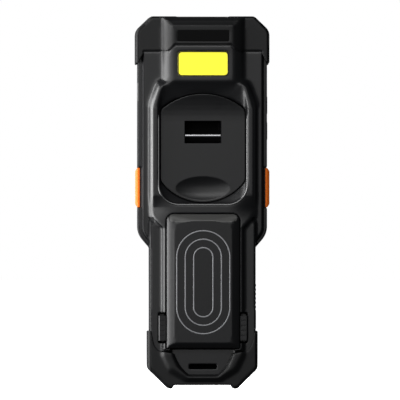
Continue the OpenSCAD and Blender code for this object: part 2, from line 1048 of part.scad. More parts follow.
module front_housing() {
    color("#2a2b2d")
    difference() {
        union() {
            difference() {
                union() {
                    front_head_form();
                    front_grip_form();
                }
                front_cavity();
            }
            screw_places()
                rod_y(0, 0, parting_y, face_inner_y + 0.5, boss_r);
            extrude_y(face_inner_y - 1.2, face_inner_y + 0.5)
                polygon(rounded(box_path(glass_r + 1.4, glass_z0 - 1.4, glass_z1 + 1.4, 4, 4)));
        }
        gasket_ring(0.05);
        extrude_y(face_y - glass_t - 0.3, front_y)
            polygon(rounded(box_path(glass_r + 0.15, glass_z0 - 0.15, glass_z1 + 0.15, glass_round, glass_round)));
        extrude_y(face_inner_y - 2, front_y)
            polygon(rounded(box_path(glass_r - ledge, glass_z0 + ledge, glass_z1 - ledge, 1.5, 1.5)));
        extrude_y(face_inner_y - 1, front_y)
            for (place = ALL_KEYS)
                key_outline(place, key_hole_clear);
        side_key_cut(side_key_y0, side_key_y1, volume_up_z, volume_h);
        side_key_cut(side_key_y0, side_key_y1, volume_down_z, volume_h);
        for (i = [0:speaker_slots - 1])
            box_between(
                [(i - 3) * 3.4 - 0.7, face_inner_y - 1, speaker_z - 1.5],
                [(i - 3) * 3.4 + 0.7, front_y, speaker_z + 1.5]
            );
        screw_places()
            rod_y(0, 0, parting_y - 1, screw_tip_y + 0.3, screw_r - 0.05);
        box_between([-dock_r - 0.1, dock_y0 - 0.1, 0], [dock_r + 0.1, dock_y1 + 0.1, dock_z1 - 2]);
    }
}

// ---- Bumpers ----

// Area of the upper bumper seen from the back
module top_zone_back() {
    polygon(rounded(both_sides([
        [16.6, total_h - 17.6, 0],
        [20.5, total_h - 21.4, 0],
        [body_r - 3.8, total_h - 21.4, 0],
        [body_r + 0.3, total_h - 28.4, 0],
        [body_r + 5, total_h - 30, 0],
        [body_r + 5, total_h + 5, 0]
    ])));
}

module top_zone_front() {
    polygon(rounded(both_sides([
        [body_r - 9, total_h - 12.4, 0],
        [body_r - 3, total_h - 18, 0],
        [body_r - 1, total_h - 28.4, 0],
        [body_r + 5, total_h - 30, 0],
        [body_r + 5, total_h + 5, 0]
    ])));
}

module bumper_layer(y0, y1, inset) {
    extrude_y(y0, y1)
        offset(delta = -inset)
            head_outline(bumper_r, bumper_top_r, bumper_corner_z, total_h, bumper_corner_round);
}

module top_bumper() {
    color("#232425")
    difference() {
        intersection() {
            union() {
                hull() {
                    bumper_layer(tub_y - skin, tub_y - skin + 0.4, 1.4);
                    bumper_layer(tub_y - skin + 0.8, tub_y - skin + 1.2, 0.4);
                    bumper_layer(tub_y + 1.6, face_y - 3.4, 0);
                    bumper_layer(front_y - 1.4, front_y - 1, 1.2);
                    bumper_layer(front_y - 0.2, front_y, 3);
                }
                hull() {
                    slab(tub_y - skin, head_foot_r, recess_z1, total_h - 0.4, 1, 1);
                    slab(hump_y - skin + 2.6, head_crest_r + 2.6, recess_z1, total_h - 2.3, 1, 1);
                    slab(hump_y - skin, head_crest_r - 0.3, recess_z1, total_h - 5.7, 1, 1);
                }
            }
            union() {
                extrude_y(rear_y, parting_y)
                    top_zone_back();
                extrude_y(parting_y, front_y)
                    top_zone_front();
            }
        }
        rear_head_form();
        front_head_form();
        head_hump();
        extrude_y(hump_y - skin - 1, hump_y - skin + badge_t)
            polygon(rounded(box_path(badge_size.x / 2 + 0.1, badge_z - 0.1, badge_z + badge_size.y + 0.1, 0.8, 0.8)));
        box_between([-window_r - 0.8, window_y0 - 1, housing_z1 - 2.4], [window_r + 0.8, window_y1 + 1, total_h + 1]);
    }
}

module badge_plate() {
    color("#0d0d0e")
    extrude_y(hump_y - skin, hump_y - skin + badge_t)
        polygon(rounded(box_path(badge_size.x / 2, badge_z, badge_z + badge_size.y, 0.8, 0.8)));
}

// Right-hand outline of the tail's bare middle, with its sloping sides
function tail_path(grow) = [
    [8.6 + grow * 0.2, 9 - grow * 0.7, 2],
    [12.9 + grow * 0.9, 13.7 - grow * 0.3, 0],
    [15.9 + grow * 0.9, 19.3, 0]
];

// The step from the battery's lower end down to the tail
module tail_recess() {
    extrude_y(rear_y - 1, grip_back_y)
        polygon(rounded(both_sides([
            [17.9, tail_h - 6, 0],
            [19.6, tail_h + 0.6, 0]
        ])));
}

// The opening round the tail, wider at the back than at its floor
module tail_opening() {
    hull() {
        outline_slab(grip_back_y, concat(tail_path(0), [[17.6, 30, 0]]));
        outline_slab(rail_y - 0.4, concat(tail_path(3), [[20.4, 30, 0]]));
    }
}

// The rim that carries the rails on round the tail
module tail_rim() {
    hull() {
        outline_slab(grip_back_y - skin + 0.4, [
            [11, 3.6, 3],
            [21.5, 9.8, 5],
            [rail_foot_r + 0.8, 19, 4],
            [rail_foot_r + 0.8, 30, 0]
        ]);
        outline_slab(rail_y, [
            [8.8, 6.4, 3],
            [18.5, 12, 5],
            [rail_crest_r, 20.5, 4],
            [rail_crest_r, 30, 0]
        ]);
    }
}

// Area of the lower bumper seen from the back: all round a U-shaped opening
module bottom_zone_back() {
    difference() {
        translate([-grip_r - 5, -5])
            square([grip_w + 10, 39.6]);
        polygon(rounded(both_sides(concat(tail_path(0), [
            [16.8, 21.2, 0],
            [grip_r - 5.6, 22.6, 0],
            [grip_r - 3, 26, 0],
            [grip_r - 0.7, 34.5, 0],
            [grip_r + 5, 35.3, 0],
            [grip_r + 5, 40, 0]
        ]))));
    }
}

module bottom_zone_front() {
    difference() {
        translate([-grip_r - 5, -5])
            square([grip_w + 10, 40.3]);
        polygon(rounded(both_sides([
            [grip_r - 9, 15, 0],
            [grip_r - 3, 22, 0],
            [grip_r - 0.7, 34, 0],
            [grip_r + 5, 36, 0],
            [grip_r + 5, 40, 0]
        ])));
    }
}

module foot_layer(y0, y1, inset, lift) {
    extrude_y(y0, y1)
        grip_outline(lower_bumper_r - inset, foot_r - inset / 2, lift, foot_corner_z, battery_z0 + 30);
}

module bottom_bumper() {
    color("#232425")
    difference() {
        intersection() {
            union() {
                hull() {
                    foot_layer(grip_back_y - skin, grip_back_y - skin + 0.4, 1.5, 1.2);
                    foot_layer(grip_back_y, grip_back_y + 0.4, 0.5, 0);
                    foot_layer(grip_back_y + 1.6, face_y - 3.4, 0, 0);
                    foot_layer(front_y - 1.4, front_y - 1, 1.2, 0);
                    foot_layer(front_y - 0.2, front_y, 3, 1.2);
                }
                tail_rim();
            }
            union() {
                extrude_y(rear_y, parting_y)
                    bottom_zone_back();
                extrude_y(parting_y, front_y)
                    bottom_zone_front();
            }
        }
        rear_grip_form();
        rail_hump();
        front_grip_form();
        tail_opening();
        extrude_y(rear_y, front_y)
            polygon([
                [-foot_r + 1.4, -1],
                [foot_r - 1.4, -1],
                [foot_r - 3.4, foot_gap_z],
                [-foot_r + 3.4, foot_gap_z]
            ]);
        lug_channel();
        box_between([-dock_r - 0.2, dock_y0 - 0.2, -1], [dock_r + 0.2, dock_y1 + 0.2, housing_z0 + 2]);
    }
}

// ---- Triggers and side keys ----

// A pad that stands out of the side wall, with a flange that keeps it in
module side_pad(y0, y1, z0, h, out, bevel, round_out) {
    x1 = body_r + out;
    intersection() {
        extrude_y(y0, y1)
            polygon(rounded([
                [flange_x1 - 0.2, z0, 0],
                [x1 - bevel, z0, 0.4],
                [x1, z0 + 1.4 * bevel, round_out],
                [x1, z0 + h - 1.4 * bevel, round_out],
                [x1 - bevel, z0 + h, 0.4],
                [flange_x1 - 0.2, z0 + h, 0]
            ]));
        extrude_z(z0, z0 + h)
            polygon(rounded([
                [flange_x1 - 0.2, y0, 0],
                [x1 - bevel, y0, 0.4],
                [x1, y0 + bevel, round_out],
                [x1, y1 - bevel, round_out],
                [x1 - bevel, y1, 0.4],
                [flange_x1 - 0.2, y1, 0]
            ]));
    }
}

module trigger() {
    color("#f08522") {
        side_pad(trigger_y0, trigger_y1, trigger_z, trigger_h, trigger_out, 1.4, 0.8);
        box_between(
            [flange_x0, upper_cavity_y + 0.2, trigger_z - flange_rim],
            [flange_x1, trigger_y1 + flange_rim, trigger_z + trigger_h + flange_rim]
        );
    }
}

module trigger_right() {
    trigger();
}

module trigger_left() {
    mirror([1, 0, 0])
        trigger();
}

module side_key(y0, y1, z0, h, out, flange_y0) {
    side_pad(y0, y1, z0, h, out, 0.5, 0.3);
    box_between([flange_x0, flange_y0, z0 - flange_rim], [flange_x1, y1 + flange_rim, z0 + h + flange_rim]);
}

module volume_up() {
    color("#1f2021")
    side_key(side_key_y0, side_key_y1, volume_up_z, volume_h, side_key_out, side_key_y0 - 0.8);
}

module volume_down() {
    color("#1f2021")
    side_key(side_key_y0, side_key_y1, volume_down_z, volume_h, side_key_out, side_key_y0 - 0.8);
}

module power_key() {
    color("#1f2021")
    mirror([1, 0, 0])
        side_key(power_y0, power_y1, power_z, power_h, 0.4, upper_cavity_y + 0.2);
}

module port_cover() {
    out = 0.3;
    rib_z0 = port_z + port_h - rib_count * 2 * rib_h;
    color("#1b1c1d")
    difference() {
        union() {
            extrude_z(port_z, port_z + port_h)
                polygon(rounded(port_section(out, port_t - 0.15, 0)));
            box_between(
                [grip_r - grip_wall + 0.9, -1.3, usb_z + 0.1],
                [grip_r - 0.5, port_y1 - 0.8, usb_z + usb_size.z - 0.6]
            );
        }
        for (i = [0:rib_count - 1])
            extrude_z(rib_z0 + i * 2 * rib_h, rib_z0 + (2 * i + 1) * rib_h)
                translate([grip_r + out - rib_out, port_y0 - 1])
                    square([4, port_y1 - port_y0 + 2]);
    }
}

// ---- Display ----

module display_glass() {
    color("#0b0c0e")
    extrude_y(face_y - glass_t - 0.3, face_y - 0.3)
        polygon(rounded(box_path(glass_r, glass_z0, glass_z1, glass_round, glass_round)));
}

module display_module() {
    y1 = face_y - glass_t - 0.35;
    color("#8a8f94")
    extrude_y(y1 - module_t, y1)
        polygon(rounded(box_path(glass_r - ledge - 0.4, glass_z0 + ledge + 0.4, glass_z1 - ledge - 0.4, 1, 1)));
}

// ---- Keypad ----

module key_cap(place) {
    crown = 0.7;
    color("#3b3d40") {
        hull() {
            extrude_y(flange_y1 - 0.1, face_y + key_out - crown)
                key_outline(place, 0);
            extrude_y(face_y + key_out - 0.05, face_y + key_out)
                key_outline(place, -crown);
        }
        extrude_y(flange_y0, flange_y1)
            translate([place[0], 0])
                polygon(box_points(place[2] / 2 + key_flange, place[1], key_h / 2 + key_flange));
    }
}

function box_points(r, z, half_h) = [[r, z - half_h], [r, z + half_h], [-r, z + half_h], [-r, z - half_h]];

module keypad_membrane() {
    color("#4a4d52") {
        extrude_y(membrane_y0, membrane_y1)
            polygon(rounded(box_path(keypad_r, keypad_z0, keypad_z1, 2, 2)));
        for (place = ALL_KEYS)
            rod_y(place[0], place[1], membrane_y1 - 0.1, membrane_y1 + dome_h, 2.6);
    }
}

module keypad_board() {
    color("#1f5a3a")
    extrude_y(membrane_y0 - 1.2, membrane_y0)
        polygon(rounded(box_path(keypad_r - 0.4, keypad_z0, keypad_z1, 1, 1)));
}

// ---- Inside ----

module main_board() {
    step_z = shoulder_z + 9.5;
    color("#1f5a3a")
    difference() {
        extrude_y(board_y0, board_y1)
            polygon(rounded(both_sides([
                [board_low_r, board_z0, 1],
                [board_low_r, step_z - 3, 0.5],
                [board_high_r, step_z + 6, 0.5],
                [board_high_r, board_z1, 2]
            ])));
        box_between(
            [grip_r - grip_wall - 1.2, board_y0 - 1, usb_z - 1],
            [grip_r, board_y1 + 1, usb_z + usb_size.z + 1]
        );
    }
}

module board_shields() {
    can_h = 2.4;
    color("#b4b8bc") {
        box_between([-24, board_y1, recess_z0 + 6], [2, board_y1 + can_h, recess_z0 + 34]);
        box_between([6, board_y1, recess_z0 + 6], [26, board_y1 + can_h, recess_z0 + 24]);
        box_between([-22, board_y1, recess_z0 + 40], [12, board_y1 + can_h, recess_z0 + 58]);
        box_between([-18, board_y1, battery_z0 + 20], [14, board_y1 + can_h, battery_z0 + 44]);
    }
}

// Imaging scanner: a body with its lens barrel and its aiming lens pointing out of the upper end
module scan_engine() {
    mid_y = (window_y0 + window_y1) / 2;
    color("#3d4043") {
        box_between([-engine_r, engine_y0, engine_z0], [engine_r, engine_y1, engine_z1]);
        translate([-4, mid_y, engine_z1 - 0.1])
            cylinder(h = 2.4, r = 4);
        translate([7, mid_y, engine_z1 - 0.1])
            cylinder(h = 1.6, r = 2.4);
    }
}

module scan_window() {
    color("#20262c", 0.6)
    box_between([-window_r, window_y0, housing_z1 - 1.3], [window_r, window_y1, housing_z1 - 0.1]);
}

module speaker() {
    color("#2b2b2b")
    extrude_y(face_inner_y - 4.1, face_inner_y - 0.1)
        polygon(rounded(box_path(13, speaker_z - 2.6, speaker_z + 4, 3, 3)));
}

module vibration_motor() {
    color("#a8abae")
    rod_y(board_high_r - 8, board_z1 - 8, board_y0 - 3.4, board_y0, 5);
}

// Tactile switches on the edge of the main board, behind the triggers and side keys
module side_switches() {
    reach = board_high_r + 0.3;
    left_and_right()
        box_between(
            [reach - 3.4, board_y0 - 4, trigger_z + trigger_h / 2 - 3],
            [reach, board_y0, trigger_z + trigger_h / 2 + 3]
        );
    mirror([1, 0, 0])
        box_between([reach - 3.4, board_y0 - 4, power_z + 3.2], [reach, board_y0, power_z + 8]);
    for (z = [volume_up_z, volume_down_z])
        box_between([reach - 3.4, board_y1, z + 3.2], [reach, board_y1 + 3.4, z + 8]);
}

module usb_socket() {
    x1 = grip_r - grip_wall + 0.7;
    color("#c3c6ca")
    difference() {
        extrude_x(x1 - usb_size.x, x1)
            polygon(rounded([
                [board_y0 - usb_size.y, usb_z, 1.2],
                [board_y0, usb_z, 1.2],
                [board_y0, usb_z + usb_size.z, 1.2],
                [board_y0 - usb_size.y, usb_z + usb_size.z, 1.2]
            ]));
        extrude_x(x1 - usb_size.x + 1.5, x1 + 1)
            polygon(rounded([
                [board_y0 - usb_size.y + 0.4, usb_z + 0.4, 0.9],
                [board_y0 - 0.4, usb_z + 0.4, 0.9],
                [board_y0 - 0.4, usb_z + usb_size.z - 0.4, 0.9],
                [board_y0 - usb_size.y + 0.4, usb_z + usb_size.z - 0.4, 0.9]
            ]));
    }
}

module battery_terminals() {
    color("#c9a24a") {
        box_between([-12, bay_y + 0.1, contact_z - 4], [12, board_y0, contact_z + 4]);
        for (x = contact_x)
            rod_y(x, contact_z, bay_y - 0.1, bay_y + 0.2, 0.8);
    }
}

module dock_block() {
    color("#1a1a1b")
    difference() {
        box_between([-dock_r, dock_y0, dock_z0], [dock_r, dock_y1, dock_z1]);
        dock_pin_places()
            cylinder(h = 1, r = 0.75, center = true);
    }
}

module dock_pin_places() {
    for (i = [0:dock_pin_count - 1])
        translate([
            (i - (dock_pin_count - 1) / 2) * dock_pin_pitch,
            (dock_y0 + dock_y1) / 2,
            dock_z0
        ])
            children();
}

module dock_pins() {
    color("#d0a948")
    dock_pin_places()
        translate([0, 0, 0.1])
            cylinder(h = 0.4, r = 0.72);
}

// Screws that hold the two housings together, hidden by the bumpers
module housing_screws() {
    color("#8d9094")
    screw_places() {
        rod_y(0, 0, -4 - screw_head_h, -4, screw_head_r);
        rod_y(0, 0, -4.1, screw_tip_y, screw_r - 0.08);
    }
}

// ---- Assembly ----

rear_housing();
front_housing();
housing_gasket();
top_bumper();
bottom_bumper();
badge_plate();
yellow_label();
strap_plate();
strap_bar();
battery_cover();
battery_base();
battery_cells();
battery_contacts();
battery_latch_left();
battery_latch_right();
trigger_left();
trigger_right();
volume_up();
volume_down();
power_key();
port_cover();
display_glass();
display_module();
keypad_membrane();
keypad_board();
main_board();
board_shields();
scan_engine();
scan_window();
speaker();
vibration_motor();
side_switches();
usb_socket();
battery_terminals();
dock_block();
dock_pins();
housing_screws();
for (i = [0:len(KEY_NAMES) - 1])
    key_cap(grid_key(i));
for (i = [0:len(TOP_NAMES) - 1])
    key_cap(top_key(i));
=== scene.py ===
"""Finished look of a rugged hand-held data terminal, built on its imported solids."""

import itertools
import math
import bmesh
import bpy
import numpy as np
from bpy.props import FloatProperty, FloatVectorProperty, IntProperty, PointerProperty
from mathutils import Matrix, Vector
from mathutils.bvhtree import BVHTree


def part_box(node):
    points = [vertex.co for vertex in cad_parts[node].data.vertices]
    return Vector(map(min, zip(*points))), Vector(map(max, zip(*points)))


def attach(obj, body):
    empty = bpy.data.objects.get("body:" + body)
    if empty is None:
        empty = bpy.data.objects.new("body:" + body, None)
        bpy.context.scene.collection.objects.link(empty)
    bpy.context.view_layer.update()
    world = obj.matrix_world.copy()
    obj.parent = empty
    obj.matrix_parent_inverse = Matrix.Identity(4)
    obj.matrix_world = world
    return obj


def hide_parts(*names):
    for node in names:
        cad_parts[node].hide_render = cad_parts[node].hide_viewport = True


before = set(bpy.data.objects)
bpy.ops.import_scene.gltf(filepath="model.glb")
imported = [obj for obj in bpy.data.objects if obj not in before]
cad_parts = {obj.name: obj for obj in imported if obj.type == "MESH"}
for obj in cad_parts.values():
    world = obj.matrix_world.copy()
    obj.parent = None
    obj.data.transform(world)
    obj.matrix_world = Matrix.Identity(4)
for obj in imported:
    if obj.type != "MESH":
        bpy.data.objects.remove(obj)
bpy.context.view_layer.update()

bl_info = {
    "name": "Portable data terminal",
    "version": (1, 0, 0),
    "blender": (4, 5, 0),
    "location": "View3D > Sidebar > Terminal",
    "description": "Builds the rounded shells, finishes, keys and studio of a data terminal",
    "category": "Object",
}

MM = 0.001
OUTSIDE = -8  # what lies further back is the outer side of the rear, in millimetres
CREST_DROP = 5.7  # from the top bumper's top down to where its slope begins, in millimetres
SEAM_HEIGHTS = (0.185, 0.21)  # between which the top bumper's rear rim lies, in metres


# ---- Settings ----


def colour_setting(name, description, default):
    return FloatVectorProperty(
        name=name,
        description=description,
        default=default,
        size=3,
        min=0.0,
        max=1.0,
        subtype="COLOR",
    )


def length_setting(name, description, default_mm):
    return FloatProperty(
        name=name,
        description=description,
        default=default_mm * MM,
        min=0.0,
        unit="LENGTH",
        precision=5,
    )


def power_setting(name, description, default):
    return FloatProperty(name=name, description=description, default=default, unit="POWER")


class TerminalFinish(bpy.types.PropertyGroup):
    """Colours and textures of the moulded parts"""

    rear: colour_setting("Rear housing", "Colour of the rear housing", (0.0034, 0.0035, 0.0039))
    front: colour_setting("Front housing", "Colour of the front housing", (0.0032, 0.0033, 0.0036))
    bumper: colour_setting("Bumpers", "Colour of the rubber bumpers", (0.0027, 0.0028, 0.0030))
    battery: colour_setting("Battery", "Colour of the battery's case", (0.0030, 0.0031, 0.0035))
    plate: colour_setting("Strap plate", "Colour of the strap plate", (0.0034, 0.0035, 0.0038))
    trigger: colour_setting("Triggers", "Colour of the side triggers", (0.52, 0.105, 0.008))
    label: colour_setting("Label", "Colour of the label under the badge", (0.74, 0.68, 0.040))
    key: colour_setting("Keys", "Colour of the keypad keys", (0.045, 0.047, 0.052))
    scan_key: colour_setting("Scan key", "Colour of the wide middle key", (0.62, 0.16, 0.010))
    legend: colour_setting("Legends", "Colour of the signs on the keys", (0.75, 0.76, 0.78))
    grain_depth: length_setting("Grain depth", "Height of the moulded grain", 0.012)


class TerminalForm(bpy.types.PropertyGroup):
    """Sizes of the rounding and of the small pieces"""

    shell_step: length_setting("Shell step", "Mesh step of the large shells", 0.4)
    fine_step: length_setting("Fine step", "Mesh step of the smaller mouldings", 0.34)
    shell_passes: IntProperty(
        name="Rounding passes",
        description="How often the shells' edges are softened",
        default=44,
        min=0,
        max=90,
    )
    plate_step: length_setting("Plate step", "Mesh step of the strap plate", 0.28)
    trigger_step: length_setting("Trigger step", "Mesh step of the side triggers", 0.25)
    bead_step: length_setting("Bead step", "From one line on the battery to the next", 5.05)
    bead_width: length_setting("Bead width", "Width of the three lines on the battery", 0.72)
    bead_rise: length_setting("Bead rise", "How far those lines stand up", 0.12)
    edge_round: length_setting("Edge rounding", "Rounding of small hard edges", 0.25)
    key_round: length_setting("Key rounding", "Rounding of the keys' edges", 0.18)
    glass_round: length_setting("Glass rounding", "Rounding of the cover glass's edges", 0.3)
    badge_round: length_setting("Badge rounding", "Rounding of the badge and the latches", 0.12)
    label_round: length_setting("Label rounding", "Rounding of the label's edges", 0.05)
    border_width: length_setting("Border width", "Width of the label's border", 0.6)
    rim_radius: length_setting("Rim radius", "Radius of the rim round the recess", 0.75)
    legend_size: length_setting("Legend size", "Size of the signs on the keys", 4.6)
    scan_sign_size: length_setting("Scan sign size", "Size of the sign on the wide key", 3.2)
    legend_rise: length_setting("Legend rise", "Thickness of the signs on the keys", 0.04)


class TerminalStudio(bpy.types.PropertyGroup):
    """Lights and camera"""

    key_power: power_setting("Left panel", "Power of the large left light", 24.0)
    top_power: power_setting("Top panel", "Power of the light above and in front", 0.6)
    high_power: power_setting("High front panel", "Power of the light high in front", 7.0)
    side_power: power_setting("Left front panel", "Power of the light left of the camera", 5.5)
    rim_power: power_setting("Right panel", "Power of the right rim light", 1.5)
    fill_power: power_setting("Front fill", "Power of the light at the camera", 9.0)
    distance: length_setting("Camera distance", "From the camera to the terminal", 6000.0)
    view_height: length_setting("View height", "Height that the picture covers", 239.0)
    aim_x: FloatProperty(
        name="Aim sideways",
        description="Where the picture's middle is across the terminal",
        default=-0.0013,
        unit="LENGTH",
    )
    aim_z: length_setting("Aim height", "Where the picture's middle is in Z", 112.75)
    azimuth: FloatProperty(
        name="Azimuth", description="Camera's turn round the terminal in degrees", default=-2.2
    )


# ---- Node helpers ----


def add_node(tree, kind, inputs=None, **settings):
    """A node with its settings, and its inputs set to values or linked to outputs."""
    node = tree.nodes.new(kind)
    for name, value in settings.items():
        setattr(node, name, value)
    for name, value in (inputs or {}).items():
        if isinstance(value, bpy.types.NodeSocket):
            tree.links.new(value, node.inputs[name])
        else:
            node.inputs[name].default_value = value
    return node


def maths(tree, operation, a, b=0.5, clamp=False):
    """What a math node makes of two numbers or outputs."""
    node = add_node(tree, "ShaderNodeMath", {0: a, 1: b}, operation=operation, use_clamp=clamp)
    return node.outputs[0]


def new_tree(name, kind, inputs, outputs):
    """A node group with named sockets, with its input node's outputs and its output node's inputs."""
    tree = bpy.data.node_groups.new(name, kind)
    for direction, rows in (("INPUT", inputs), ("OUTPUT", outputs)):
        for label, socket, *default in rows:
            made = tree.interface.new_socket(
                name=label, in_out=direction, socket_type=f"NodeSocket{socket}"
            )
            if default:
                made.default_value = default[0]
    return tree, tree.nodes.new("NodeGroupInput").outputs, tree.nodes.new("NodeGroupOutput").inputs


def own_place(tree):
    """The place on a piece in its own coordinates."""
    return add_node(tree, "ShaderNodeTexCoord").outputs["Object"]


def noise(tree, place, scale, detail=2.0, roughness=0.5):
    return add_node(
        tree,
        "ShaderNodeTexNoise",
        {"Vector": place, "Scale": scale, "Detail": detail, "Roughness": roughness},
    ).outputs["Fac"]


# ---- Shader node groups ----


def moulded_grain():
    """Height of the fine spark-eroded grain of moulded plastic and rubber."""
    group = bpy.data.node_groups.get("moulded_grain")
    if group:
        return group
    group, given, out = new_tree(
        "moulded_grain",
        "ShaderNodeTree",
        (("Grain Size", "Float", 0.0006), ("Coarse Share", "Float", 0.35)),
        (("Height", "Float"),),
    )
    place = own_place(group)
    scale = maths(group, "DIVIDE", 1.0, given["Grain Size"])
    fine = noise(group, place, scale, detail=3.0, roughness=0.6)
    coarse = add_node(
        group,
        "ShaderNodeTexVoronoi",
        {"Vector": place, "Scale": maths(group, "MULTIPLY", scale, 0.45)},
        feature="SMOOTH_F1",
    )
    pebbles = maths(group, "MULTIPLY", coarse.outputs["Distance"], given["Coarse Share"])
    group.links.new(maths(group, "ADD", fine, pebbles), out["Height"])
    return group


def handling():
    """Slow change of tone and gloss, as skin and cloth leave on a surface in use."""
    group = bpy.data.node_groups.get("handling")
    if group:
        return group
    group, given, out = new_tree(
        "handling",
        "ShaderNodeTree",
        (
            ("Colour", "Color", (0.5, 0.5, 0.5, 1.0)),
            ("Tone Change", "Float", 0.12),
            ("Gloss", "Float", 0.5),
            ("Gloss Change", "Float", 0.06),
        ),
        (("Colour", "Color"), ("Roughness", "Float")),
    )
    place = own_place(group)
    patches = noise(group, place, 38.0, detail=4.0)
    specks = noise(group, place, 260.0, detail=5.0)
    swing = maths(group, "SUBTRACT", maths(group, "ADD", patches, specks), 1.0)
    gain = maths(group, "ADD", maths(group, "MULTIPLY", swing, given["Tone Change"]), 1.0)
    tint = add_node(
        group, "ShaderNodeVectorMath", {0: given["Colour"], "Scale": gain}, operation="SCALE"
    )
    drift = maths(group, "MULTIPLY", swing, given["Gloss Change"])
    group.links.new(tint.outputs[0], out["Colour"])
    group.links.new(maths(group, "ADD", given["Gloss"], drift, clamp=True), out["Roughness"])
    return group


def edge_rub():
    """Mask of convex edges, which get a lighter colour as a painted highlight."""
    group = bpy.data.node_groups.get("edge_rub")
    if group:
        return group
    group, given, out = new_tree(
        "edge_rub",
        "ShaderNodeTree",
        (("Start", "Float", 0.53), ("Full", "Float", 0.62)),
        (("Mask", "Float"),),
    )
    span = add_node(
        group,
        "ShaderNodeMapRange",
        {
            "Value": add_node(group, "ShaderNodeNewGeometry").outputs["Pointiness"],
            "From Min": given["Start"],
            "From Max": given["Full"],
        },
    )
    break_up = noise(group, own_place(group), 420.0)
    mask = maths(group, "MULTIPLY", span.outputs["Result"], break_up, clamp=True)
    group.links.new(mask, out["Mask"])
    return group


# ---- Materials ----


def new_material(name):
    """A material with an empty node tree."""
    made = bpy.data.materials.new(name)
    made.use_nodes = True
    made.node_tree.nodes.clear()
    return made, made.node_tree


def end_material(tree, inputs):
    """The Principled shader with its inputs, led to the material's output."""
    shader = add_node(tree, "ShaderNodeBsdfPrincipled", inputs)
    add_node(tree, "ShaderNodeOutputMaterial", {"Surface": shader.outputs[0]})


def moulding(
    name,
    colour,
    gloss,
    grain=0.6,
    depth=None,
    tone=0.12,
    gloss_change=0.06,
    rub=0.0,
    specular=0.5,
):
    """Moulded plastic or rubber: grain, slow changes of tone and gloss, painted highlights on convex
    edges.
    """
    made, tree = new_material(name)
    use = add_node(
        tree,
        "ShaderNodeGroup",
        {"Colour": (*colour, 1.0), "Tone Change": tone, "Gloss": gloss, "Gloss Change": gloss_change},
        node_tree=handling(),
    )
    tint = use.outputs["Colour"]
    # painted highlight: convex edges are mixed towards a lighter colour
    if rub:
        highlit = [min(1.0, part * (1 + rub) + 0.01 * rub) for part in colour]
        edge = add_node(tree, "ShaderNodeGroup", {"Start": 0.53, "Full": 0.62}, node_tree=edge_rub())
        mix = add_node(
            tree,
            "ShaderNodeMix",
            {"Factor": edge.outputs["Mask"], "A": tint, "B": (*highlit, 1.0)},
            data_type="RGBA",
        )
        tint = mix.outputs["Result"]
    inputs = {
        "Base Color": tint,
        "Roughness": use.outputs["Roughness"],
        "Specular IOR Level": specular,
    }
    height = bpy.context.scene.terminal_finish.grain_depth if depth is None else depth * MM
    if height > 0:
        grains = add_node(
            tree,
            "ShaderNodeGroup",
            {"Grain Size": grain * MM, "Coarse Share": 0.35},
            node_tree=moulded_grain(),
        )
        bump = add_node(
            tree, "ShaderNodeBump", {"Distance": height, "Height": grains.outputs["Height"]}
        )
        inputs["Normal"] = bump.outputs["Normal"]
    end_material(tree, inputs)
    return made


def metal(name, colour, gloss, stretch=(1.0, 1.0, 1.0), brush=900.0):
    """Drawn or brushed metal: fine lines across it change its gloss and its colour a little."""
    made, tree = new_material(name)
    turn = add_node(tree, "ShaderNodeMapping", {"Vector": own_place(tree), "Scale": stretch})
    lines = noise(tree, turn.outputs["Vector"], brush, detail=4.0)
    ramp = add_node(tree, "ShaderNodeValToRGB", {"Fac": lines})
    ramp.color_ramp.elements[0].color = (*[part * 0.8 for part in colour], 1.0)
    ramp.color_ramp.elements[1].color = (*colour, 1.0)
    span = add_node(
        tree, "ShaderNodeMapRange", {"Value": lines, "To Min": gloss * 0.8, "To Max": gloss * 1.25}
    )
    end_material(
        tree,
        {
            "Metallic": 1.0,
            "Base Color": ramp.outputs["Color"],
            "Roughness": span.outputs["Result"],
        },
    )
    return made


def circuit_board(name):
    """Solder mask with slightly darker copper areas under it."""
    made, tree = new_material(name)
    flat = add_node(
        tree,
        "ShaderNodeMapping",
        {"Vector": own_place(tree), "Rotation": (math.radians(90), 0.0, 0.0)},
    )
    tracks = add_node(
        tree,
        "ShaderNodeTexBrick",
        {
            "Vector": flat.outputs["Vector"],
            "Scale": 160.0,
            "Color1": (0.010, 0.085, 0.035, 1.0),
            "Color2": (0.014, 0.11, 0.045, 1.0),
            "Mortar": (0.03, 0.17, 0.075, 1.0),
        },
    )
    end_material(tree, {"Base Color": tracks.outputs["Color"], "Roughness": 0.35})
    return made


def display_surface(name):
    """Cover glass: a matt black frame printed behind it and the dark panel's faint sheen."""
    made, tree = new_material(name)
    low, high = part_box("display_module")
    half_w = (high.x - low.x) / 2 - 2.2 * MM
    half_h = (high.z - low.z) / 2 - 2.6 * MM
    place = own_place(tree)
    split = add_node(tree, "ShaderNodeSeparateXYZ", {0: place})
    lifted = maths(tree, "SUBTRACT", split.outputs["Z"], (high.z + low.z) / 2)
    across = maths(tree, "LESS_THAN", maths(tree, "ABSOLUTE", split.outputs["X"]), half_w)
    along = maths(tree, "LESS_THAN", maths(tree, "ABSOLUTE", lifted), half_h)
    mix = add_node(
        tree,
        "ShaderNodeMix",
        {
            "Factor": maths(tree, "MULTIPLY", across, along),
            "A": (0.0035, 0.0036, 0.004, 1.0),
            "B": (0.012, 0.014, 0.019, 1.0),
        },
        data_type="RGBA",
    )
    smears = noise(tree, place, 45.0, detail=6.0)
    span = add_node(tree, "ShaderNodeMapRange", {"Value": smears, "To Min": 0.04, "To Max": 0.11})
    end_material(
        tree,
        {
            "Base Color": mix.outputs["Result"],
            "Roughness": span.outputs["Result"],
            "IOR": 1.5,
        },
    )
    return made
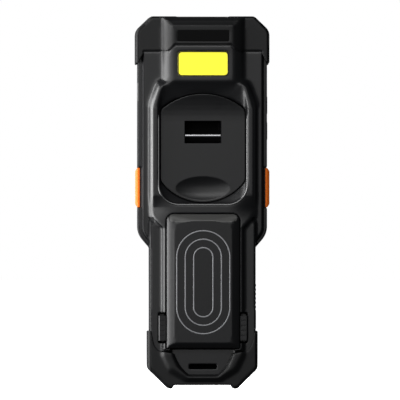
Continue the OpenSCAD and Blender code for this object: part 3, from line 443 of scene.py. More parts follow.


# a colour in words is one of TerminalFinish's settings; grain and depth are in millimetres
# rub sets how much lighter convex edges are painted, as a painted highlight
MOULDINGS = {
    "rear_moulding": dict(colour="rear", gloss=0.34, grain=0.55, rub=0.2, specular=0.25),
    "front_moulding": dict(colour="front", gloss=0.40, grain=0.55, rub=0.2, specular=0.25),
    "bumper_skin": dict(colour="bumper", gloss=0.44, grain=0.8, rub=0.2, specular=0.17),
    "battery_moulding": dict(colour="battery", gloss=0.40, grain=0.5, rub=0.1, specular=0.22),
    # painted light: a far lighter colour on the battery's upward slope, in place of light falling from
    # above
    "crown_moulding": dict(colour=(0.026, 0.026, 0.025), gloss=0.45, grain=0.5, specular=0.3),
    # painted highlight: the battery's lines get a light grey in place of the light their grooves catch
    "bead_moulding": dict(colour=(0.13, 0.132, 0.138), gloss=0.35, depth=0.0, specular=0.4),
    "plate_moulding": dict(colour="plate", gloss=0.36, grain=0.5, rub=0.1, specular=0.25),
    "ledge_moulding": dict(colour="rear", gloss=0.5, grain=0.55, specular=0.05),
    "bumper_edge": dict(colour="bumper", gloss=0.55, grain=0.8, specular=0.05),
    "pocket_shadow": dict(colour=(0.0006, 0.0006, 0.0007), gloss=0.6, specular=0.02),
    "rim_polish": dict(colour=(0.004, 0.004, 0.0045), gloss=0.24, depth=0.0, specular=0.9),
    "trigger_moulding": dict(
        colour="trigger", gloss=0.38, grain=0.5, depth=0.006, tone=0.05, specular=0.08
    ),
    # painted shade: dark red on the part of each trigger inside the housing's outline
    "trigger_foot": dict(colour=(0.010, 0.004, 0.003), gloss=0.5, specular=0.1),
    "side_key_skin": dict(colour=(0.006, 0.006, 0.0065), gloss=0.5, rub=0.2, specular=0.25),
    "port_skin": dict(
        colour=(0.005, 0.005, 0.0055), gloss=0.55, grain=0.7, rub=0.2, specular=0.2
    ),
    "latch_moulding": dict(colour=(0.004, 0.004, 0.0045), gloss=0.4, rub=0.3, specular=0.2),
    "badge_face": dict(
        colour=(0.0012, 0.0012, 0.0013),
        gloss=0.3,
        depth=0.0,
        tone=0.05,
        gloss_change=0.03,
        specular=0.03,
    ),
    "label_face": dict(
        colour="label", gloss=0.42, grain=0.3, depth=0.002, tone=0.03, specular=0.1
    ),
    "label_edge": dict(
        colour=(0.012, 0.012, 0.006), gloss=0.45, depth=0.0, tone=0.05, specular=0.1
    ),
    "key_moulding": dict(colour="key", gloss=0.42, grain=0.4, depth=0.006),
    "scan_key_moulding": dict(colour="scan_key", gloss=0.38, grain=0.4, depth=0.006, tone=0.05),
    "legend_ink": dict(colour="legend", gloss=0.5, depth=0.0, tone=0.04),
    "seal_skin": dict(colour=(0.002, 0.002, 0.002), gloss=0.7, tone=0.1, specular=0.1),
    "membrane_silicone": dict(colour=(0.07, 0.075, 0.08), gloss=0.55, tone=0.1),
    "dark_fitting": dict(colour=(0.012, 0.012, 0.013), gloss=0.5, tone=0.2),
    "cell_wrap": dict(colour=(0.02, 0.055, 0.16), gloss=0.25, depth=0.0, tone=0.2),
}
METALS = {
    "steel": dict(colour=(0.78, 0.79, 0.81), gloss=0.22),
    "bar_steel_drawn": dict(colour=(0.30, 0.30, 0.31), gloss=0.3, stretch=(0.05, 1.0, 1.0)),
    "tinned_steel": dict(colour=(0.55, 0.56, 0.58), gloss=0.32, brush=500.0),
    "gold_contact": dict(colour=(0.83, 0.6, 0.24), gloss=0.24, brush=700.0),
    "panel_aluminium": dict(colour=(0.5, 0.51, 0.53), gloss=0.4),
}
OTHER_FINISHES = {"circuit_board": circuit_board, "cover_glass": display_surface}


def finish_of(name):
    """The material for one of the terminal's finishes, made when it is first asked for."""
    made = bpy.data.materials.get(name)
    if made:
        return made
    if name in METALS:
        return metal(name, **METALS[name])
    if name in OTHER_FINISHES:
        return OTHER_FINISHES[name](name)
    values = dict(MOULDINGS[name])
    if isinstance(values["colour"], str):
        values["colour"] = getattr(bpy.context.scene.terminal_finish, values["colour"])
    return moulding(name, **values)


def paint(obj, finish):
    obj.data.materials.clear()
    obj.data.materials.append(finish_of(finish))


def dress(**finishes):
    """Paints the CAD nodes that keep their own mesh."""
    for node, finish in finishes.items():
        paint(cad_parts[node], finish)


# ---- Mesh helpers ----


def link_new(name, data):
    obj = bpy.data.objects.new(name, data)
    bpy.context.collection.objects.link(obj)
    return obj


def cad_copy(node):
    """A merged copy of a CAD node's mesh."""
    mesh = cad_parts[node].data.copy()
    mesh.materials.clear()
    edit = bmesh.new()
    edit.from_mesh(mesh)
    bmesh.ops.remove_doubles(edit, verts=edit.verts, dist=0.002 * MM)
    edit.to_mesh(mesh)
    edit.free()
    return mesh


def evaluated_mesh(obj):
    graph = bpy.context.evaluated_depsgraph_get()
    return bpy.data.meshes.new_from_object(obj.evaluated_get(graph))


def applied(obj):
    """Applies all modifiers of obj to a new plain mesh."""
    mesh = evaluated_mesh(obj)
    obj.modifiers.clear()
    old = obj.data
    obj.data = mesh
    bpy.data.meshes.remove(old)


def curve_mesh(name, curve):
    """A curve or a text as a plain mesh."""
    obj = link_new(name, curve)
    bpy.context.view_layer.update()
    mesh = evaluated_mesh(obj)
    bpy.data.objects.remove(obj)
    return mesh


def settle(obj, body, node=None):
    """Smooth shading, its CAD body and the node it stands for."""
    for face in obj.data.polygons:
        face.use_smooth = True
    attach(obj, body)
    if node:
        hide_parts(node)
    return obj


def soften(mesh, passes, shares=None):
    """Moves each point half way to its neighbours' middle, or by its share of that, many times."""
    count = len(mesh.vertices)
    places = np.empty(count * 3)
    mesh.vertices.foreach_get("co", places)
    places = places.reshape(-1, 3)
    ends = np.empty(len(mesh.edges) * 2, dtype=np.int32)
    mesh.edges.foreach_get("vertices", ends)
    first, second = ends[0::2], ends[1::2]
    neighbours = np.maximum(np.bincount(ends, minlength=count), 1)[:, None]
    pull = 0.5 * (shares(places)[:, None] if shares else np.ones((count, 1)))
    for _ in range(passes):
        total = np.stack(
            [
                np.bincount(first, places[second, axis], count)
                + np.bincount(second, places[first, axis], count)
                for axis in range(3)
            ],
            axis=1,
        )
        places += pull * (total / neighbours - places)
    mesh.vertices.foreach_set("co", places.ravel())
    mesh.update()


def finish_where(obj, finish, picks):
    """Another finish on the faces that the rule picks by their middles, in millimetres, and normals."""
    mesh = obj.data
    middles = np.empty(len(mesh.polygons) * 3)
    mesh.polygons.foreach_get("center", middles)
    normals = np.empty(len(mesh.polygons) * 3)
    mesh.polygons.foreach_get("normal", normals)
    picked = picks(middles.reshape(-1, 3) / MM, normals.reshape(-1, 3))
    if not picked.any():
        raise RuntimeError(f"no face of {obj.name} gets {finish}")
    slots = np.empty(len(mesh.polygons), dtype=np.int32)
    mesh.polygons.foreach_get("material_index", slots)
    slots[picked] = len(mesh.materials)
    mesh.materials.append(finish_of(finish))
    mesh.polygons.foreach_set("material_index", slots)
    mesh.update()


def face_tree(mesh, keep=lambda face: True):
    """A search tree of the faces to keep."""
    faces = [face.vertices[:] for face in mesh.polygons if keep(face)]
    return BVHTree.FromPolygons([vertex.co[:] for vertex in mesh.vertices], faces)


def on_seam(face):
    """The top bumper's downward faces along its rear rim."""
    low, high = SEAM_HEIGHTS
    return face.normal.z < -0.6 and low < face.center.z < high and face.center.y < 0


def draw_back(mesh, reach, depth):
    """Sinks a skin towards the top bumper's rim, so that a seam shows there."""
    rim = face_tree(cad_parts["top_bumper"].data, on_seam)
    normals = [vertex.normal.copy() for vertex in mesh.vertices]
    for vertex, normal in zip(mesh.vertices, normals):
        distance = rim.find_nearest(vertex.co, reach)[3]
        if distance is not None:
            vertex.co -= normal * depth * (1 - distance / reach)
    mesh.update()


def crown_head_facets(mesh):
    """Swells the slanted sides of the head's hump, which are slightly round."""
    middle, half, swell = 21.6, 3.6, 0.55
    foot, run = 176, 8
    slant = 0.7
    for vertex in mesh.vertices:
        place = vertex.co / MM
        across = (abs(place.x) - middle) / half
        if abs(across) < 1 and place.y < -9.5 and place.z > foot:
            rise = min(1.0, (place.z - foot) / run)
            outwards = Vector((math.copysign(slant, place.x), -slant, 0.0))
            vertex.co += outwards * swell * MM * rise * (1 - across**2) ** 2
    mesh.update()


def bay_strips():
    """The bay's walls brought close to the battery above its latches, just below the rails."""
    low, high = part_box("battery_cover")
    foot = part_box("battery_latch_left")[1].z + 3 * MM
    rail = low.y + 3.8 * MM
    inner, outer = high.x + 0.06 * MM, high.x + 1.0 * MM
    return [
        itertools.product(across, (rail + 0.3 * MM, rail + 2.3 * MM), (foot, high.z - 2 * MM))
        for across in ((-outer, -inner), (inner, outer))
    ]


def round_web(mesh):
    """Lets the bridge between recess and battery fall away towards both shoulders."""
    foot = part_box("strap_plate")[0].z / MM
    start, end, edge, fall = 14, 31, 34, 0.012
    below, above, tub = 14, 4, -9.8
    for vertex in mesh.vertices:
        away, y, z = abs(vertex.co.x) / MM, vertex.co.y / MM, vertex.co.z / MM
        if start < away < edge and y < tub and foot - below < z < foot + above:
            fade = min(1.0, (foot + above - z) / 7) * min(1.0, (tub - y) / 5.7)
            fade *= min(1.0, (z - foot + below) / 9)
            vertex.co.y += fall * (min(away, end) - start) ** 2 * fade * MM
    mesh.update()


def shape_rear(mesh):
    """The rear housing's round forms, its corner under the bumper and its side of the seam."""
    crown_head_facets(mesh)
    round_web(mesh)
    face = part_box("badge_plate")[0].y / MM
    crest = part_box("top_bumper")[1].z / MM - CREST_DROP
    for vertex in mesh.vertices:
        lift = vertex.co.z / MM - crest
        if lift > -2 and vertex.co.y < 0:
            vertex.co.y = max(vertex.co.y, (face + 1.0 + max(0.0, lift + 1) * 0.9) * MM)
    draw_back(mesh, 0.7 * MM, 0.3 * MM)


def shape_cap(mesh):
    """The top bumper's round facets and its rim."""
    crown_head_facets(mesh)
    draw_back(mesh, 1.4 * MM, 0.7 * MM)


def shape_plate(mesh):
    """The plate's upper end leans out of the recess a little."""
    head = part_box("strap_plate")[1].z
    reach, lean = 17 * MM, 1.2 * MM
    for vertex in mesh.vertices:
        along = max(0.0, (vertex.co.z - head + reach) / reach)
        vertex.co.y -= lean * along**2
    mesh.update()


def rounded_shell(
    node, name, finish, body, step, passes, share=1.0, filled=(), shares=None, shape=None
):
    """A CAD node rebuilt as an even mesh with softened edges, convex blocks filled in first."""
    mesh = cad_copy(node)
    edit = bmesh.new()
    edit.from_mesh(mesh)
    for corners in filled:
        bmesh.ops.convex_hull(edit, input=[edit.verts.new(corner) for corner in corners])
    edit.to_mesh(mesh)
    edit.free()
    obj = link_new(name, mesh)
    even = obj.modifiers.new("even", "REMESH")
    even.mode = "VOXEL"
    even.voxel_size = step
    even.adaptivity = 0.0
    applied(obj)
    soften(obj.data, passes, shares)
    if shape:
        shape(obj.data)
    if share < 1.0:
        thin = obj.modifiers.new("thin", "DECIMATE")
        thin.ratio = share
        applied(obj)
    paint(obj, finish)
    return settle(obj, body, node)


def bevelled(node, name, finish, body, width, angle=30.0, segments=3):
    """A CAD node with its flat faces joined and its hard edges rounded."""
    mesh = cad_copy(node)
    edit = bmesh.new()
    edit.from_mesh(mesh)
    flat = math.radians(0.6)
    bmesh.ops.dissolve_limit(edit, angle_limit=flat, verts=edit.verts, edges=edit.edges)
    edit.to_mesh(mesh)
    edit.free()
    obj = link_new(name, mesh)
    for face in mesh.polygons:
        face.use_smooth = True
    bevel = obj.modifiers.new("bevel", "BEVEL")
    bevel.width = width
    bevel.segments = segments
    bevel.limit_method = "ANGLE"
    bevel.angle_limit = math.radians(angle)
    bevel.harden_normals = False
    even = obj.modifiers.new("even", "WEIGHTED_NORMAL")
    even.keep_sharp = True
    applied(obj)
    paint(obj, finish)
    return settle(obj, body, node)


def plate_outline(half_w, low, high, corner, steps=8):
    """Points of a rounded rectangle in X and Z."""
    points = []
    for cx, cz, start in (
        (half_w - corner, high - corner, 0),
        (-half_w + corner, high - corner, 90),
        (-half_w + corner, low + corner, 180),
        (half_w - corner, low + corner, 270),
    ):
        for i in range(steps + 1):
            turn = math.radians(start + 90 * i / steps)
            points.append((cx + corner * math.cos(turn), cz + corner * math.sin(turn)))
    return points


def ring_mesh(name, outer, inner, y_front, y_back):
    """A flat frame between two outlines with as many points, standing in XZ."""
    edit = bmesh.new()
    rows = [
        [edit.verts.new((x, y, z)) for x, z in outline]
        for outline, y in ((outer, y_back), (outer, y_front), (inner, y_front), (inner, y_back))
    ]
    for row, beside in zip(rows, rows[1:] + rows[:1]):
        for i in range(-len(outer), 0):
            edit.faces.new((row[i], row[i + 1], beside[i + 1], beside[i]))
    bmesh.ops.recalc_face_normals(edit, faces=edit.faces)
    mesh = bpy.data.meshes.new(name)
    edit.to_mesh(mesh)
    edit.free()
    return mesh


# ---- Geometry Nodes ----


def nested_lines_tree():
    """Three beads along stadium outlines, each a step inside the one before."""
    tree, given, out = new_tree(
        "nested_lines",
        "GeometryNodeTree",
        (
            ("Geometry", "Geometry"),
            ("Half Width", "Float", 0.0157),
            ("Bottom", "Float", 0.033),
            ("Top", "Float", 0.094),
            ("Step", "Float", 0.0052),
            ("Depth", "Float", -0.019),
            ("Bead Width", "Float", 0.0008),
            ("Bead Rise", "Float", 0.00012),
            ("Finish", "Material"),
        ),
        (("Geometry", "Geometry"),),
    )
    joined = add_node(tree, "GeometryNodeJoinGeometry")
    bead_radius = maths(tree, "MULTIPLY", given["Bead Width"], 0.5)
    full = maths(tree, "SUBTRACT", given["Top"], given["Bottom"])
    for number in range(3):
        inset = maths(tree, "MULTIPLY", given["Step"], float(number))
        radius = maths(tree, "SUBTRACT", given["Half Width"], inset)
        outline = add_node(
            tree,
            "GeometryNodeCurvePrimitiveQuadrilateral",
            {
                "Width": maths(tree, "MULTIPLY", radius, 2.0),
                "Height": maths(tree, "SUBTRACT", full, maths(tree, "MULTIPLY", inset, 2.0)),
            },
        )
        # a radius just under half the width keeps the fillets from meeting in one point
        fillet = add_node(
            tree, "GeometryNodeFilletCurve", {"Curve": outline.outputs[0]}, mode="POLY"
        )
        fillet.inputs["Count"].default_value = 20
        tree.links.new(maths(tree, "MULTIPLY", radius, 0.998), fillet.inputs["Radius"])
        profile = add_node(
            tree, "GeometryNodeCurvePrimitiveCircle", {"Resolution": 12, "Radius": bead_radius}
        )
        tube = add_node(
            tree,
            "GeometryNodeCurveToMesh",
            {"Curve": fillet.outputs[0], "Profile Curve": profile.outputs[0]},
        )
        tree.links.new(tube.outputs[0], joined.inputs[0])
    # the beads are circles until here; they are pressed to the wanted rise above the face
    rise = maths(tree, "DIVIDE", given["Bead Rise"], given["Bead Width"])
    flat = add_node(
        tree, "ShaderNodeCombineXYZ", {0: 1.0, 1: 1.0, 2: maths(tree, "MULTIPLY", rise, 2.0)}
    )
    middle = maths(tree, "MULTIPLY", maths(tree, "ADD", given["Bottom"], given["Top"]), 0.5)
    place = add_node(tree, "ShaderNodeCombineXYZ", {1: given["Depth"], 2: middle})
    turn = add_node(
        tree,
        "GeometryNodeTransform",
        {
            "Geometry": joined.outputs[0],
            "Translation": place.outputs[0],
            "Rotation": (math.radians(90), 0.0, 0.0),
            "Scale": flat.outputs[0],
        },
    )
    smooth = add_node(tree, "GeometryNodeSetShadeSmooth", {"Geometry": turn.outputs[0]})
    real = add_node(tree, "GeometryNodeRealizeInstances", {0: smooth.outputs[0]})
    finish = add_node(
        tree, "GeometryNodeSetMaterial", {"Geometry": real.outputs[0], "Material": given["Finish"]}
    )
    tree.links.new(finish.outputs[0], out[0])
    return tree


def run_tree(name, tree, values, finish):
    """A new object whose mesh is what the tree makes, its inputs set by their identifiers."""
    obj = link_new(name, bpy.data.meshes.new(name))
    modifier = obj.modifiers.new("rule", "NODES")
    modifier.node_group = tree
    values = {**values, "Finish": finish_of(finish)}
    for item in tree.interface.items_tree:
        if item.item_type == "SOCKET" and item.in_out == "INPUT" and item.name in values:
            modifier[item.identifier] = values[item.name]
    applied(obj)
    if not len(obj.data.polygons):
        raise RuntimeError(f"{name} came out empty")
    paint(obj, finish)
    return obj


# ---- Pieces ----


class TerminalOperator:
    """What the terminal's operators share"""

    bl_options = {"REGISTER", "UNDO"}


def between(values, low, high):
    return (values > low) & (values < high)


REAR_ZONES = (
    # outside only, span away from the middle, span of height, share of the softening
    (True, (15, 34), (108, 999), 0.22),  # slopes beside the recess
    (True, (15, 34), (168, 999), 1.0),  # the head's hump
    (True, (23.4, 33), (48, 118), 0.35),  # rails
    (True, (-1, 20), (177, 190), 1.0),  # slope from the head into the recess
    (False, (24.6, 28.2), (104, 168), 0.06),  # the recess's lip
    (False, (20.8, 23.4), (20, 107), 0.06),  # the bay's edge
)
BUMPER_ZONES = (
    (True, (15, 33), (203, 216), 1.0),  # slanted sides over the head
    (True, (-1, 31), (4, 30), 0.5),  # forms round the tail
)


def zone_shares(zones):
    """A rule for soften: each zone's own share of the softening, and a tenth of it elsewhere."""

    def shares(places):
        away, y, z = np.abs(places[:, 0]) / MM, places[:, 1] / MM, places[:, 2] / MM
        made = np.full(len(places), 0.1)
        for outside, across, along, share in zones:
            zone = between(away, *across) & between(z, *along)
            made[zone & (y < OUTSIDE) if outside else zone] = share
        return made

    return shares


def cover_shares(places):
    """The battery's foot keeps its edge, so that the gap round it stays narrow."""
    away, y, z = np.abs(places[:, 0]) / MM, places[:, 1] / MM, places[:, 2] / MM
    shares = np.full(len(places), 1.0)
    shares[(away > 21.2) | (z < 25.2) | (z > 102.3) | (y > -14)] = 0.08
    return shares


def lit_battery_crown(middles, normals):
    """The upward slope at the battery's upper end, given a far lighter colour as painted light from
    above.
    """
    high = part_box("battery_cover")[1].z / MM
    return (normals[:, 2] > 0.2) & (middles[:, 2] > high - 4.8) & (np.abs(middles[:, 0]) < 20)


def trigger_foot(middles, normals):
    """The part of a trigger that lies below the housing's outline, painted dark red as painted shade.
    """
    return np.abs(middles[:, 0]) < 37.7


def outer_ledge(middles, normals):
    """Faces that turn outwards along the outline, past the raised forms."""
    away = np.abs(middles[:, 0])
    outwards = normals[:, 0] * np.sign(middles[:, 0]) > 0.12
    z = middles[:, 2]
    beside_body = away > 34.6
    beside_grip = (away > 30.7) & (z < 88)
    beside_shoulder = (away > 29.2) & between(z, 84, 102.5)
    return outwards & (beside_body | beside_grip | beside_shoulder)


def in_strap_slot(middles, normals):
    """The walls of the plate's slot and of the pocket behind it."""
    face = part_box("strap_plate")[0].y / MM
    low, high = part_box("strap_bar")
    foot = (low.z + high.z) / 2 / MM - 4.3
    away, y, z = np.abs(middles[:, 0]), middles[:, 1], middles[:, 2]
    return (away < 11.0) & between(z, foot - 0.4, foot + 13.2) & (y > face + 0.45) & (y < face + 14)


def in_tail_slot(middles, normals):
    """The walls of the wrist strap's slot and channel in the tail."""
    away, y, z = np.abs(middles[:, 0]), middles[:, 1], middles[:, 2]
    return (away < 9.4) & between(z, 1.0, 15.6) & between(y, -11.5, -2.0)


class TERMINAL_OT_housings(TerminalOperator, bpy.types.Operator):
    """Rounds the two housings and dresses the seal between them"""

    bl_idname = "terminal.housings"
    bl_label = "Housings"

    def execute(self, context):
        form = context.scene.terminal_form
        rear = rounded_shell(
            "rear_housing",
            "rear_shell",
            "rear_moulding",
            "housing",
            form.shell_step,
            form.shell_passes,
            share=0.27,
            filled=bay_strips(),
            shares=zone_shares(REAR_ZONES),
            shape=shape_rear,
        )
        finish_where(rear, "ledge_moulding", outer_ledge)
        finish_where(rear, "pocket_shadow", in_strap_slot)
        finish_where(rear, "pocket_shadow", in_tail_slot)
        rounded_shell(
            "front_housing",
            "front_shell",
            "front_moulding",
            "housing",
            form.shell_step,
            4,
            share=0.3,
        )
        dress(housing_gasket="seal_skin", housing_screws="steel")
        return {"FINISHED"}


class TERMINAL_OT_bumpers(TerminalOperator, bpy.types.Operator):
    """Rounds the rubber bumpers at both ends"""

    bl_idname = "terminal.bumpers"
    bl_label = "Bumpers"

    def execute(self, context):
        form = context.scene.terminal_form
        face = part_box("badge_plate")[0].y
        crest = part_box("top_bumper")[1].z - CREST_DROP * MM
        slope = [
            (x * MM, face + y * MM, crest + z * MM)
            for x in (-17.9, 17.9)
            for y, z in ((0.05, -3.0), (0.05, 0.0), (2.6, 3.3), (4.4, 3.3), (1.0, -3.0))
        ]
        for node, name, filled, shape in (
            ("top_bumper", "top_cap", (slope,), shape_cap),
            ("bottom_bumper", "bottom_cap", (), None),
        ):
            cap = rounded_shell(
                node,
                name,
                "bumper_skin",
                "housing",
                form.fine_step,
                form.shell_passes,
                share=0.8,
                filled=filled,
                shares=zone_shares(BUMPER_ZONES),
                shape=shape,
            )
            finish_where(cap, "bumper_edge", outer_ledge)
        return {"FINISHED"}


class TERMINAL_OT_battery(TerminalOperator, bpy.types.Operator):
    """Rounds the battery's case, lays its three lines and dresses what it holds"""

    bl_idname = "terminal.battery"
    bl_label = "Battery"

    def execute(self, context):
        form = context.scene.terminal_form
        low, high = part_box("battery_cover")
        face_block = itertools.product(
            (-17.4 * MM, 17.4 * MM),
            (low.y + 0.05 * MM, low.y + 1.0 * MM),
            (low.z + 7 * MM, high.z - 9.1 * MM),
        )
        crown_block = [
            (x * MM, low.y + y * MM, high.z + z * MM)
            for x in (-18.6, 18.6)
            for y, z in ((3.9, -0.1), (0.4, -4.4), (6.0, -0.1), (6.0, -4.4))
        ]
        cover = rounded_shell(
            "battery_cover",
            "battery_case",
            "battery_moulding",
            "battery",
            form.fine_step,
            12,
            share=0.8,
            shares=cover_shares,
            filled=(face_block, crown_block),
        )
        # painted light on the battery's upward slope
        finish_where(cover, "crown_moulding", lit_battery_crown)
        face = low.y + form.bead_rise
        for vertex in cover.data.vertices:
            vertex.co.y = max(vertex.co.y, face)
        # the lines' light grey is a painted highlight
        beads = run_tree(
            "battery_lines",
            nested_lines_tree(),
            {
                "Half Width": 15.85 * MM,
                "Bottom": low.z + 8.8 * MM,
                "Top": high.z - 9.9 * MM,
                "Step": form.bead_step,
                "Depth": face,
                "Bead Width": form.bead_width,
                "Bead Rise": form.bead_rise,
            },
            "bead_moulding",
        )
        settle(beads, "battery", None)
        dress(
            battery_base="dark_fitting",
            battery_cells="cell_wrap",
            battery_contacts="gold_contact",
            battery_terminals="gold_contact",
        )
        for side in ("left", "right"):
            cap = bevelled(
                f"battery_latch_{side}",
                f"latch_{side}_cap",
                "latch_moulding",
                f"latch_{side}",
                form.badge_round,
            )
            lower_lip(cap, f"battery_latch_{side}")
        return {"FINISHED"}


def lower_lip(cap, node):
    """Sinks a latch's lip, which goes under the battery's edge when it is squeezed."""
    low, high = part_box(node)
    outer = max(abs(low.x), abs(high.x))
    for vertex in cap.data.vertices:
        if abs(vertex.co.x) < outer - 3.3 * MM and vertex.co.y < low.y + 0.6 * MM:
            vertex.co.y += 0.25 * MM
    cap.data.update()


def recess_rim(name, radius, housing):
    """The rounded rim along the sides and the foot of the recess, sunk in the housing's surface."""
    low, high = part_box("strap_plate")
    half = high.x + 1.35 * MM
    foot = low.z - 1.4 * MM
    head = high.z - 12 * MM
    corner = 12 * MM
    side_steps, corner_steps = 12, 10
    side = foot + corner - head
    points = [(half, head + side * step / side_steps) for step in range(side_steps)]
    for step in range(corner_steps + 1):
        turn = math.radians(-90 * step / corner_steps)
        points.append(
            (half - corner + corner * math.cos(turn), foot + corner + corner * math.sin(turn))
        )
    points += [(-x, z) for x, z in reversed(points)]
    curve = bpy.data.curves.new(name, "CURVE")
    curve.dimensions = "3D"
    curve.bevel_depth = radius
    curve.bevel_resolution = 4
    curve.use_fill_caps = True
    line = curve.splines.new("POLY")
    line.points.add(len(points) - 1)
    skin = face_tree(housing.data)
    for point, (x, z) in zip(line.points, points):
        hit = skin.ray_cast((x, low.y - 20 * MM, z), (0, 1, 0))[0]
        point.co = (x, hit.y + 0.4 * radius, z, 1.0)
    line.points[0].radius = line.points[-1].radius = 0.2
    return link_new(name, curve_mesh(f"{name}_path", curve))


class TERMINAL_OT_strap_plate(TerminalOperator, bpy.types.Operator):
    """Rounds the plate in the recess and dresses its bar"""

    bl_idname = "terminal.strap_plate"
    bl_label = "Strap Plate"

    def execute(self, context):
        form = context.scene.terminal_form
        plate = rounded_shell(
            "strap_plate",
            "recess_plate",
            "plate_moulding",
            "housing",
            form.plate_step,
            3,
            shape=shape_plate,
        )
        finish_where(plate, "pocket_shadow", in_strap_slot)
        rim = recess_rim("recess_rim", form.rim_radius, bpy.data.objects["rear_shell"])
        paint(rim, "rim_polish")
        settle(rim, "housing", None)
        dress(strap_bar="bar_steel_drawn")
        return {"FINISHED"}


class TERMINAL_OT_side_keys(TerminalOperator, bpy.types.Operator):
    """Rounds the triggers and dresses the side keys and the port cover"""

    bl_idname = "terminal.side_keys"
    bl_label = "Triggers and Side Keys"

    def execute(self, context):
        form = context.scene.terminal_form
        for side in ("left", "right"):
            pad = rounded_shell(
                f"trigger_{side}",
                f"trigger_{side}_pad",
                "trigger_moulding",
                f"trigger_{side}_body",
                form.trigger_step,
                6,
            )
            # painted shade on the part of the trigger inside the housing's outline
            finish_where(pad, "trigger_foot", trigger_foot)
        for node in ("volume_up", "volume_down", "power_key"):
            bevelled(
                node, f"{node}_pad", "side_key_skin", f"{node}_body", form.edge_round
            )
        dress(port_cover="port_skin", side_switches="dark_fitting", usb_socket="tinned_steel")
        return {"FINISHED"}


class TERMINAL_OT_badge_and_label(TerminalOperator, bpy.types.Operator):
    """The bare badge plate and the bare label with its border"""

    bl_idname = "terminal.badge_and_label"
    bl_label = "Badge and Label"

    def execute(self, context):
        form = context.scene.terminal_form
        bevelled("badge_plate", "badge", "badge_face", "housing", form.badge_round)
        bevelled(
            "yellow_label",
            "label",
            "label_face",
            "housing",
            form.label_round,
            segments=1,
        )
        low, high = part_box("yellow_label")
        half = (high.x - low.x) / 2
        inset, lift = 0.02 * MM, 0.01 * MM
        inner = inset + form.border_width
        outlines = [
            plate_outline(half - edge, low.z + edge, high.z - edge, corner * MM)
            for edge, corner in ((inset, 2.0), (inner, 1.9))
        ]
        ring = ring_mesh("label_border", *outlines, low.y - lift, low.y + form.label_round)
        border = link_new("label_border", ring)
        paint(border, "label_edge")
        settle(border, "housing", None)
        return {"FINISHED"}


class TERMINAL_OT_display(TerminalOperator, bpy.types.Operator):
    """The cover glass, the panel behind it and the speaker"""

    bl_idname = "terminal.display"
    bl_label = "Display"

    def execute(self, context):
        edge = context.scene.terminal_form.glass_round
        bevelled("display_glass", "cover_glass", "cover_glass", "housing", edge)
        dress(display_module="panel_aluminium", speaker="dark_fitting")
        return {"FINISHED"}


LEGENDS = dict(
    zip(
        (
            *("key_star", "key_0", "key_hash", "key_enter"),
            *("key_7", "key_8", "key_9", "key_down"),
            *("key_4", "key_5", "key_6", "key_up"),
            *("key_1", "key_2", "key_3", "key_back"),
            *("key_f1", "key_f2", "key_f3", "key_f4"),
            *("key_left", "key_scan", "key_right"),
        ),
        (*"*0#=789↓456↑123←", ".", "..", "...", "....", "–", "|||||", "+"),
    )
)


def legend(node, text, height, rise):
    """A sign on a key's crown as a thin closed mesh."""
    low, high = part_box(node)
    curve = bpy.data.curves.new(f"{node}_sign", "FONT")
    curve.body = text
    curve.align_x = "CENTER"
    curve.align_y = "CENTER"
    curve.size = height
    curve.extrude = rise
    curve.resolution_u = 3
    mesh = curve_mesh(f"{node}_flat", curve)
    across, up = [
        (min(side) + max(side)) / 2 for side in zip(*(vertex.co.xy for vertex in mesh.vertices))
    ]
    to_middle = Matrix.Translation((-across, -up, 0))
    # the text reads from the display side: its right is -X and its up is +Z
    turn = Matrix(((-1, 0, 0, 0), (0, 0, 1, 0), (0, 1, 0, 0), (0, 0, 0, 1)))
    place = Matrix.Translation(((low.x + high.x) / 2, high.y, (low.z + high.z) / 2))
    mesh.transform(place @ turn @ to_middle)
    return mesh


class TERMINAL_OT_keypad(TerminalOperator, bpy.types.Operator):
    """Rounds the keypad's keys and prints their signs"""

    bl_idname = "terminal.keypad"
    bl_label = "Keypad"

    def execute(self, context):
        form = context.scene.terminal_form
        for node, text in LEGENDS.items():
            wide = node == "key_scan"
            bevelled(
                node,
                f"{node}_cap",
                "scan_key_moulding" if wide else "key_moulding",
                f"{node}_body",
                form.key_round,
                angle=25.0,
                segments=2,
            )
            height = form.scan_sign_size if wide else form.legend_size
            sign = link_new(f"{node}_sign", legend(node, text, height, form.legend_rise))
            paint(sign, "legend_ink")
            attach(sign, f"{node}_body")
        dress(keypad_membrane="membrane_silicone", keypad_board="circuit_board")
        return {"FINISHED"}


class TERMINAL_OT_inside(TerminalOperator, bpy.types.Operator):
    """Dresses the boards, scanner, motor and dock parts"""

    bl_idname = "terminal.inside"
    bl_label = "Inside"

    def execute(self, context):
        dress(
            main_board="circuit_board",
            board_shields="tinned_steel",
            scan_engine="dark_fitting",
            scan_window="cover_glass",
            vibration_motor="tinned_steel",
            dock_block="dark_fitting",
            dock_pins="gold_contact",
        )
        return {"FINISHED"}


# ---- Studio ----


def panel_light(name, power, size, place, aim):
    data = bpy.data.lights.new(name, "AREA")
    data.shape = "RECTANGLE"
    data.size, data.size_y = size
    data.energy = power
    obj = link_new(name, data)
    obj.location = place
    obj.rotation_mode = "QUATERNION"
    obj.rotation_quaternion = (Vector(place) - Vector(aim)).to_track_quat("Z", "Y")
    obj.visible_camera = False


def round_about(degrees, distance, height):
    """A place at that many degrees to the left of the camera's side, round the terminal."""
    turn = math.radians(degrees)
    return (-math.sin(turn) * distance, -math.cos(turn) * distance, height)


# name, its power's setting, width and height, place
PANELS = (
    ("left_panel", "key_power", (0.72, 0.75), round_about(97, 0.52, 0.16)),
    ("top_panel", "top_power", (1.0, 0.4), (-0.1, -0.45, 1.15)),
    ("high_front", "high_power", (0.9, 0.35), (-0.15, -0.95, 0.85)),
    ("left_front", "side_power", (0.55, 0.8), round_about(42, 0.9, 0.16)),
    ("right_panel", "rim_power", (0.3, 0.7), round_about(-155, 0.8, 0.16)),
    ("front_fill", "fill_power", (1.3, 1.3), round_about(6, 1.6, 0.5)),
)


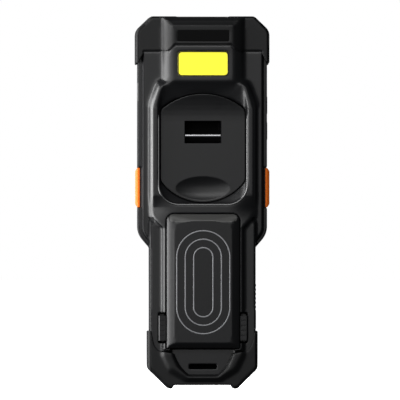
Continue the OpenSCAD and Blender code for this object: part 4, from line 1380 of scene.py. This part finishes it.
def pale_world():
    """White to the camera, dim to everything else."""
    world = bpy.data.worlds.new("studio")
    bpy.context.scene.world = world
    world.use_nodes = True
    tree = world.node_tree
    tree.nodes.clear()
    seen = add_node(tree, "ShaderNodeBackground", {"Color": (1.0, 1.0, 1.0, 1.0)})
    room = add_node(
        tree, "ShaderNodeBackground", {"Color": (0.9, 0.95, 1.0, 1.0), "Strength": 0.10}
    )
    to_camera = add_node(tree, "ShaderNodeLightPath").outputs["Is Camera Ray"]
    mix = add_node(
        tree, "ShaderNodeMixShader", {0: to_camera, 1: room.outputs[0], 2: seen.outputs[0]}
    )
    add_node(tree, "ShaderNodeOutputWorld", {"Surface": mix.outputs[0]})


def pale_floor():
    """A large round floor, so nearly white that its edge can't be made out."""
    mesh = bpy.data.meshes.new("floor")
    edit = bmesh.new()
    bmesh.ops.create_circle(edit, cap_ends=True, cap_tris=False, segments=96, radius=8.0)
    edit.to_mesh(mesh)
    edit.free()
    floor = link_new("floor", mesh)
    made, tree = new_material("pale_floor")
    end_material(
        tree,
        {
            "Base Color": (0.75, 0.75, 0.75, 1.0),
            "Roughness": 0.9,
            "Specular IOR Level": 0.0,
            "Emission Color": (1.0, 1.0, 1.0, 1.0),
            "Emission Strength": 1.02,
        },
    )
    mesh.materials.append(made)
    floor.visible_diffuse = False
    floor.visible_glossy = False


class TERMINAL_OT_stage(TerminalOperator, bpy.types.Operator):
    """Floor, plain soft lights and the camera"""

    bl_idname = "terminal.stage"
    bl_label = "Stage"

    def execute(self, context):
        scene = context.scene
        studio = scene.terminal_studio
        scene.view_settings.view_transform = "Standard"
        pale_world()
        pale_floor()
        aim = (0.0, 0.0, 0.12)
        for name, power, size, place in PANELS:
            panel_light(name, getattr(studio, power), size, place, aim)
        data = bpy.data.cameras.new("camera")
        camera = link_new("camera", data)
        turn = math.radians(studio.azimuth)
        away = Vector((math.sin(turn), -math.cos(turn), 0.0))
        across = Vector((math.cos(turn), math.sin(turn), 0.0))
        target = across * studio.aim_x + Vector((0.0, 0.0, studio.aim_z))
        camera.location = target + away * studio.distance
        camera.rotation_mode = "QUATERNION"
        camera.rotation_quaternion = away.to_track_quat("Z", "Y")
        rear_face = 0.012
        data.sensor_width = 36.0
        data.lens = data.sensor_width * (studio.distance - rear_face) / studio.view_height
        data.clip_start, data.clip_end = 0.1, 50.0
        scene.camera = camera
        return {"FINISHED"}


# ---- Panel and registration ----


class TERMINAL_PT_build(bpy.types.Panel):
    """Lists the terminal's pieces in the sidebar"""

    bl_idname = "TERMINAL_PT_build"
    bl_label = "Data Terminal"
    bl_space_type = "VIEW_3D"
    bl_region_type = "UI"
    bl_category = "Terminal"

    def draw(self, context):
        for operator in OPERATORS:
            self.layout.operator(operator.bl_idname)
        for group in ("terminal_finish", "terminal_form", "terminal_studio"):
            settings = getattr(context.scene, group)
            box = self.layout.box()
            for name in settings.__annotations__:
                box.prop(settings, name)


OPERATORS = (
    TERMINAL_OT_stage,
    TERMINAL_OT_housings,
    TERMINAL_OT_bumpers,
    TERMINAL_OT_battery,
    TERMINAL_OT_strap_plate,
    TERMINAL_OT_side_keys,
    TERMINAL_OT_badge_and_label,
    TERMINAL_OT_display,
    TERMINAL_OT_keypad,
    TERMINAL_OT_inside,
)
SETTINGS = {
    "terminal_finish": TerminalFinish,
    "terminal_form": TerminalForm,
    "terminal_studio": TerminalStudio,
}


def register():
    for kind in (*SETTINGS.values(), *OPERATORS, TERMINAL_PT_build):
        bpy.utils.register_class(kind)
    for name, kind in SETTINGS.items():
        setattr(bpy.types.Scene, name, PointerProperty(type=kind))


def unregister():
    for name in SETTINGS:
        delattr(bpy.types.Scene, name)
    for kind in (TERMINAL_PT_build, *reversed(OPERATORS), *SETTINGS.values()):
        bpy.utils.unregister_class(kind)


def main():
    for name in ("Cube", "Light", "Camera"):
        if name in bpy.data.objects:
            bpy.data.objects.remove(bpy.data.objects[name])
    register()
    for operator in OPERATORS:
        group, name = operator.bl_idname.split(".")
        getattr(getattr(bpy.ops, group), name)()


if __name__ == "__main__":
    main()
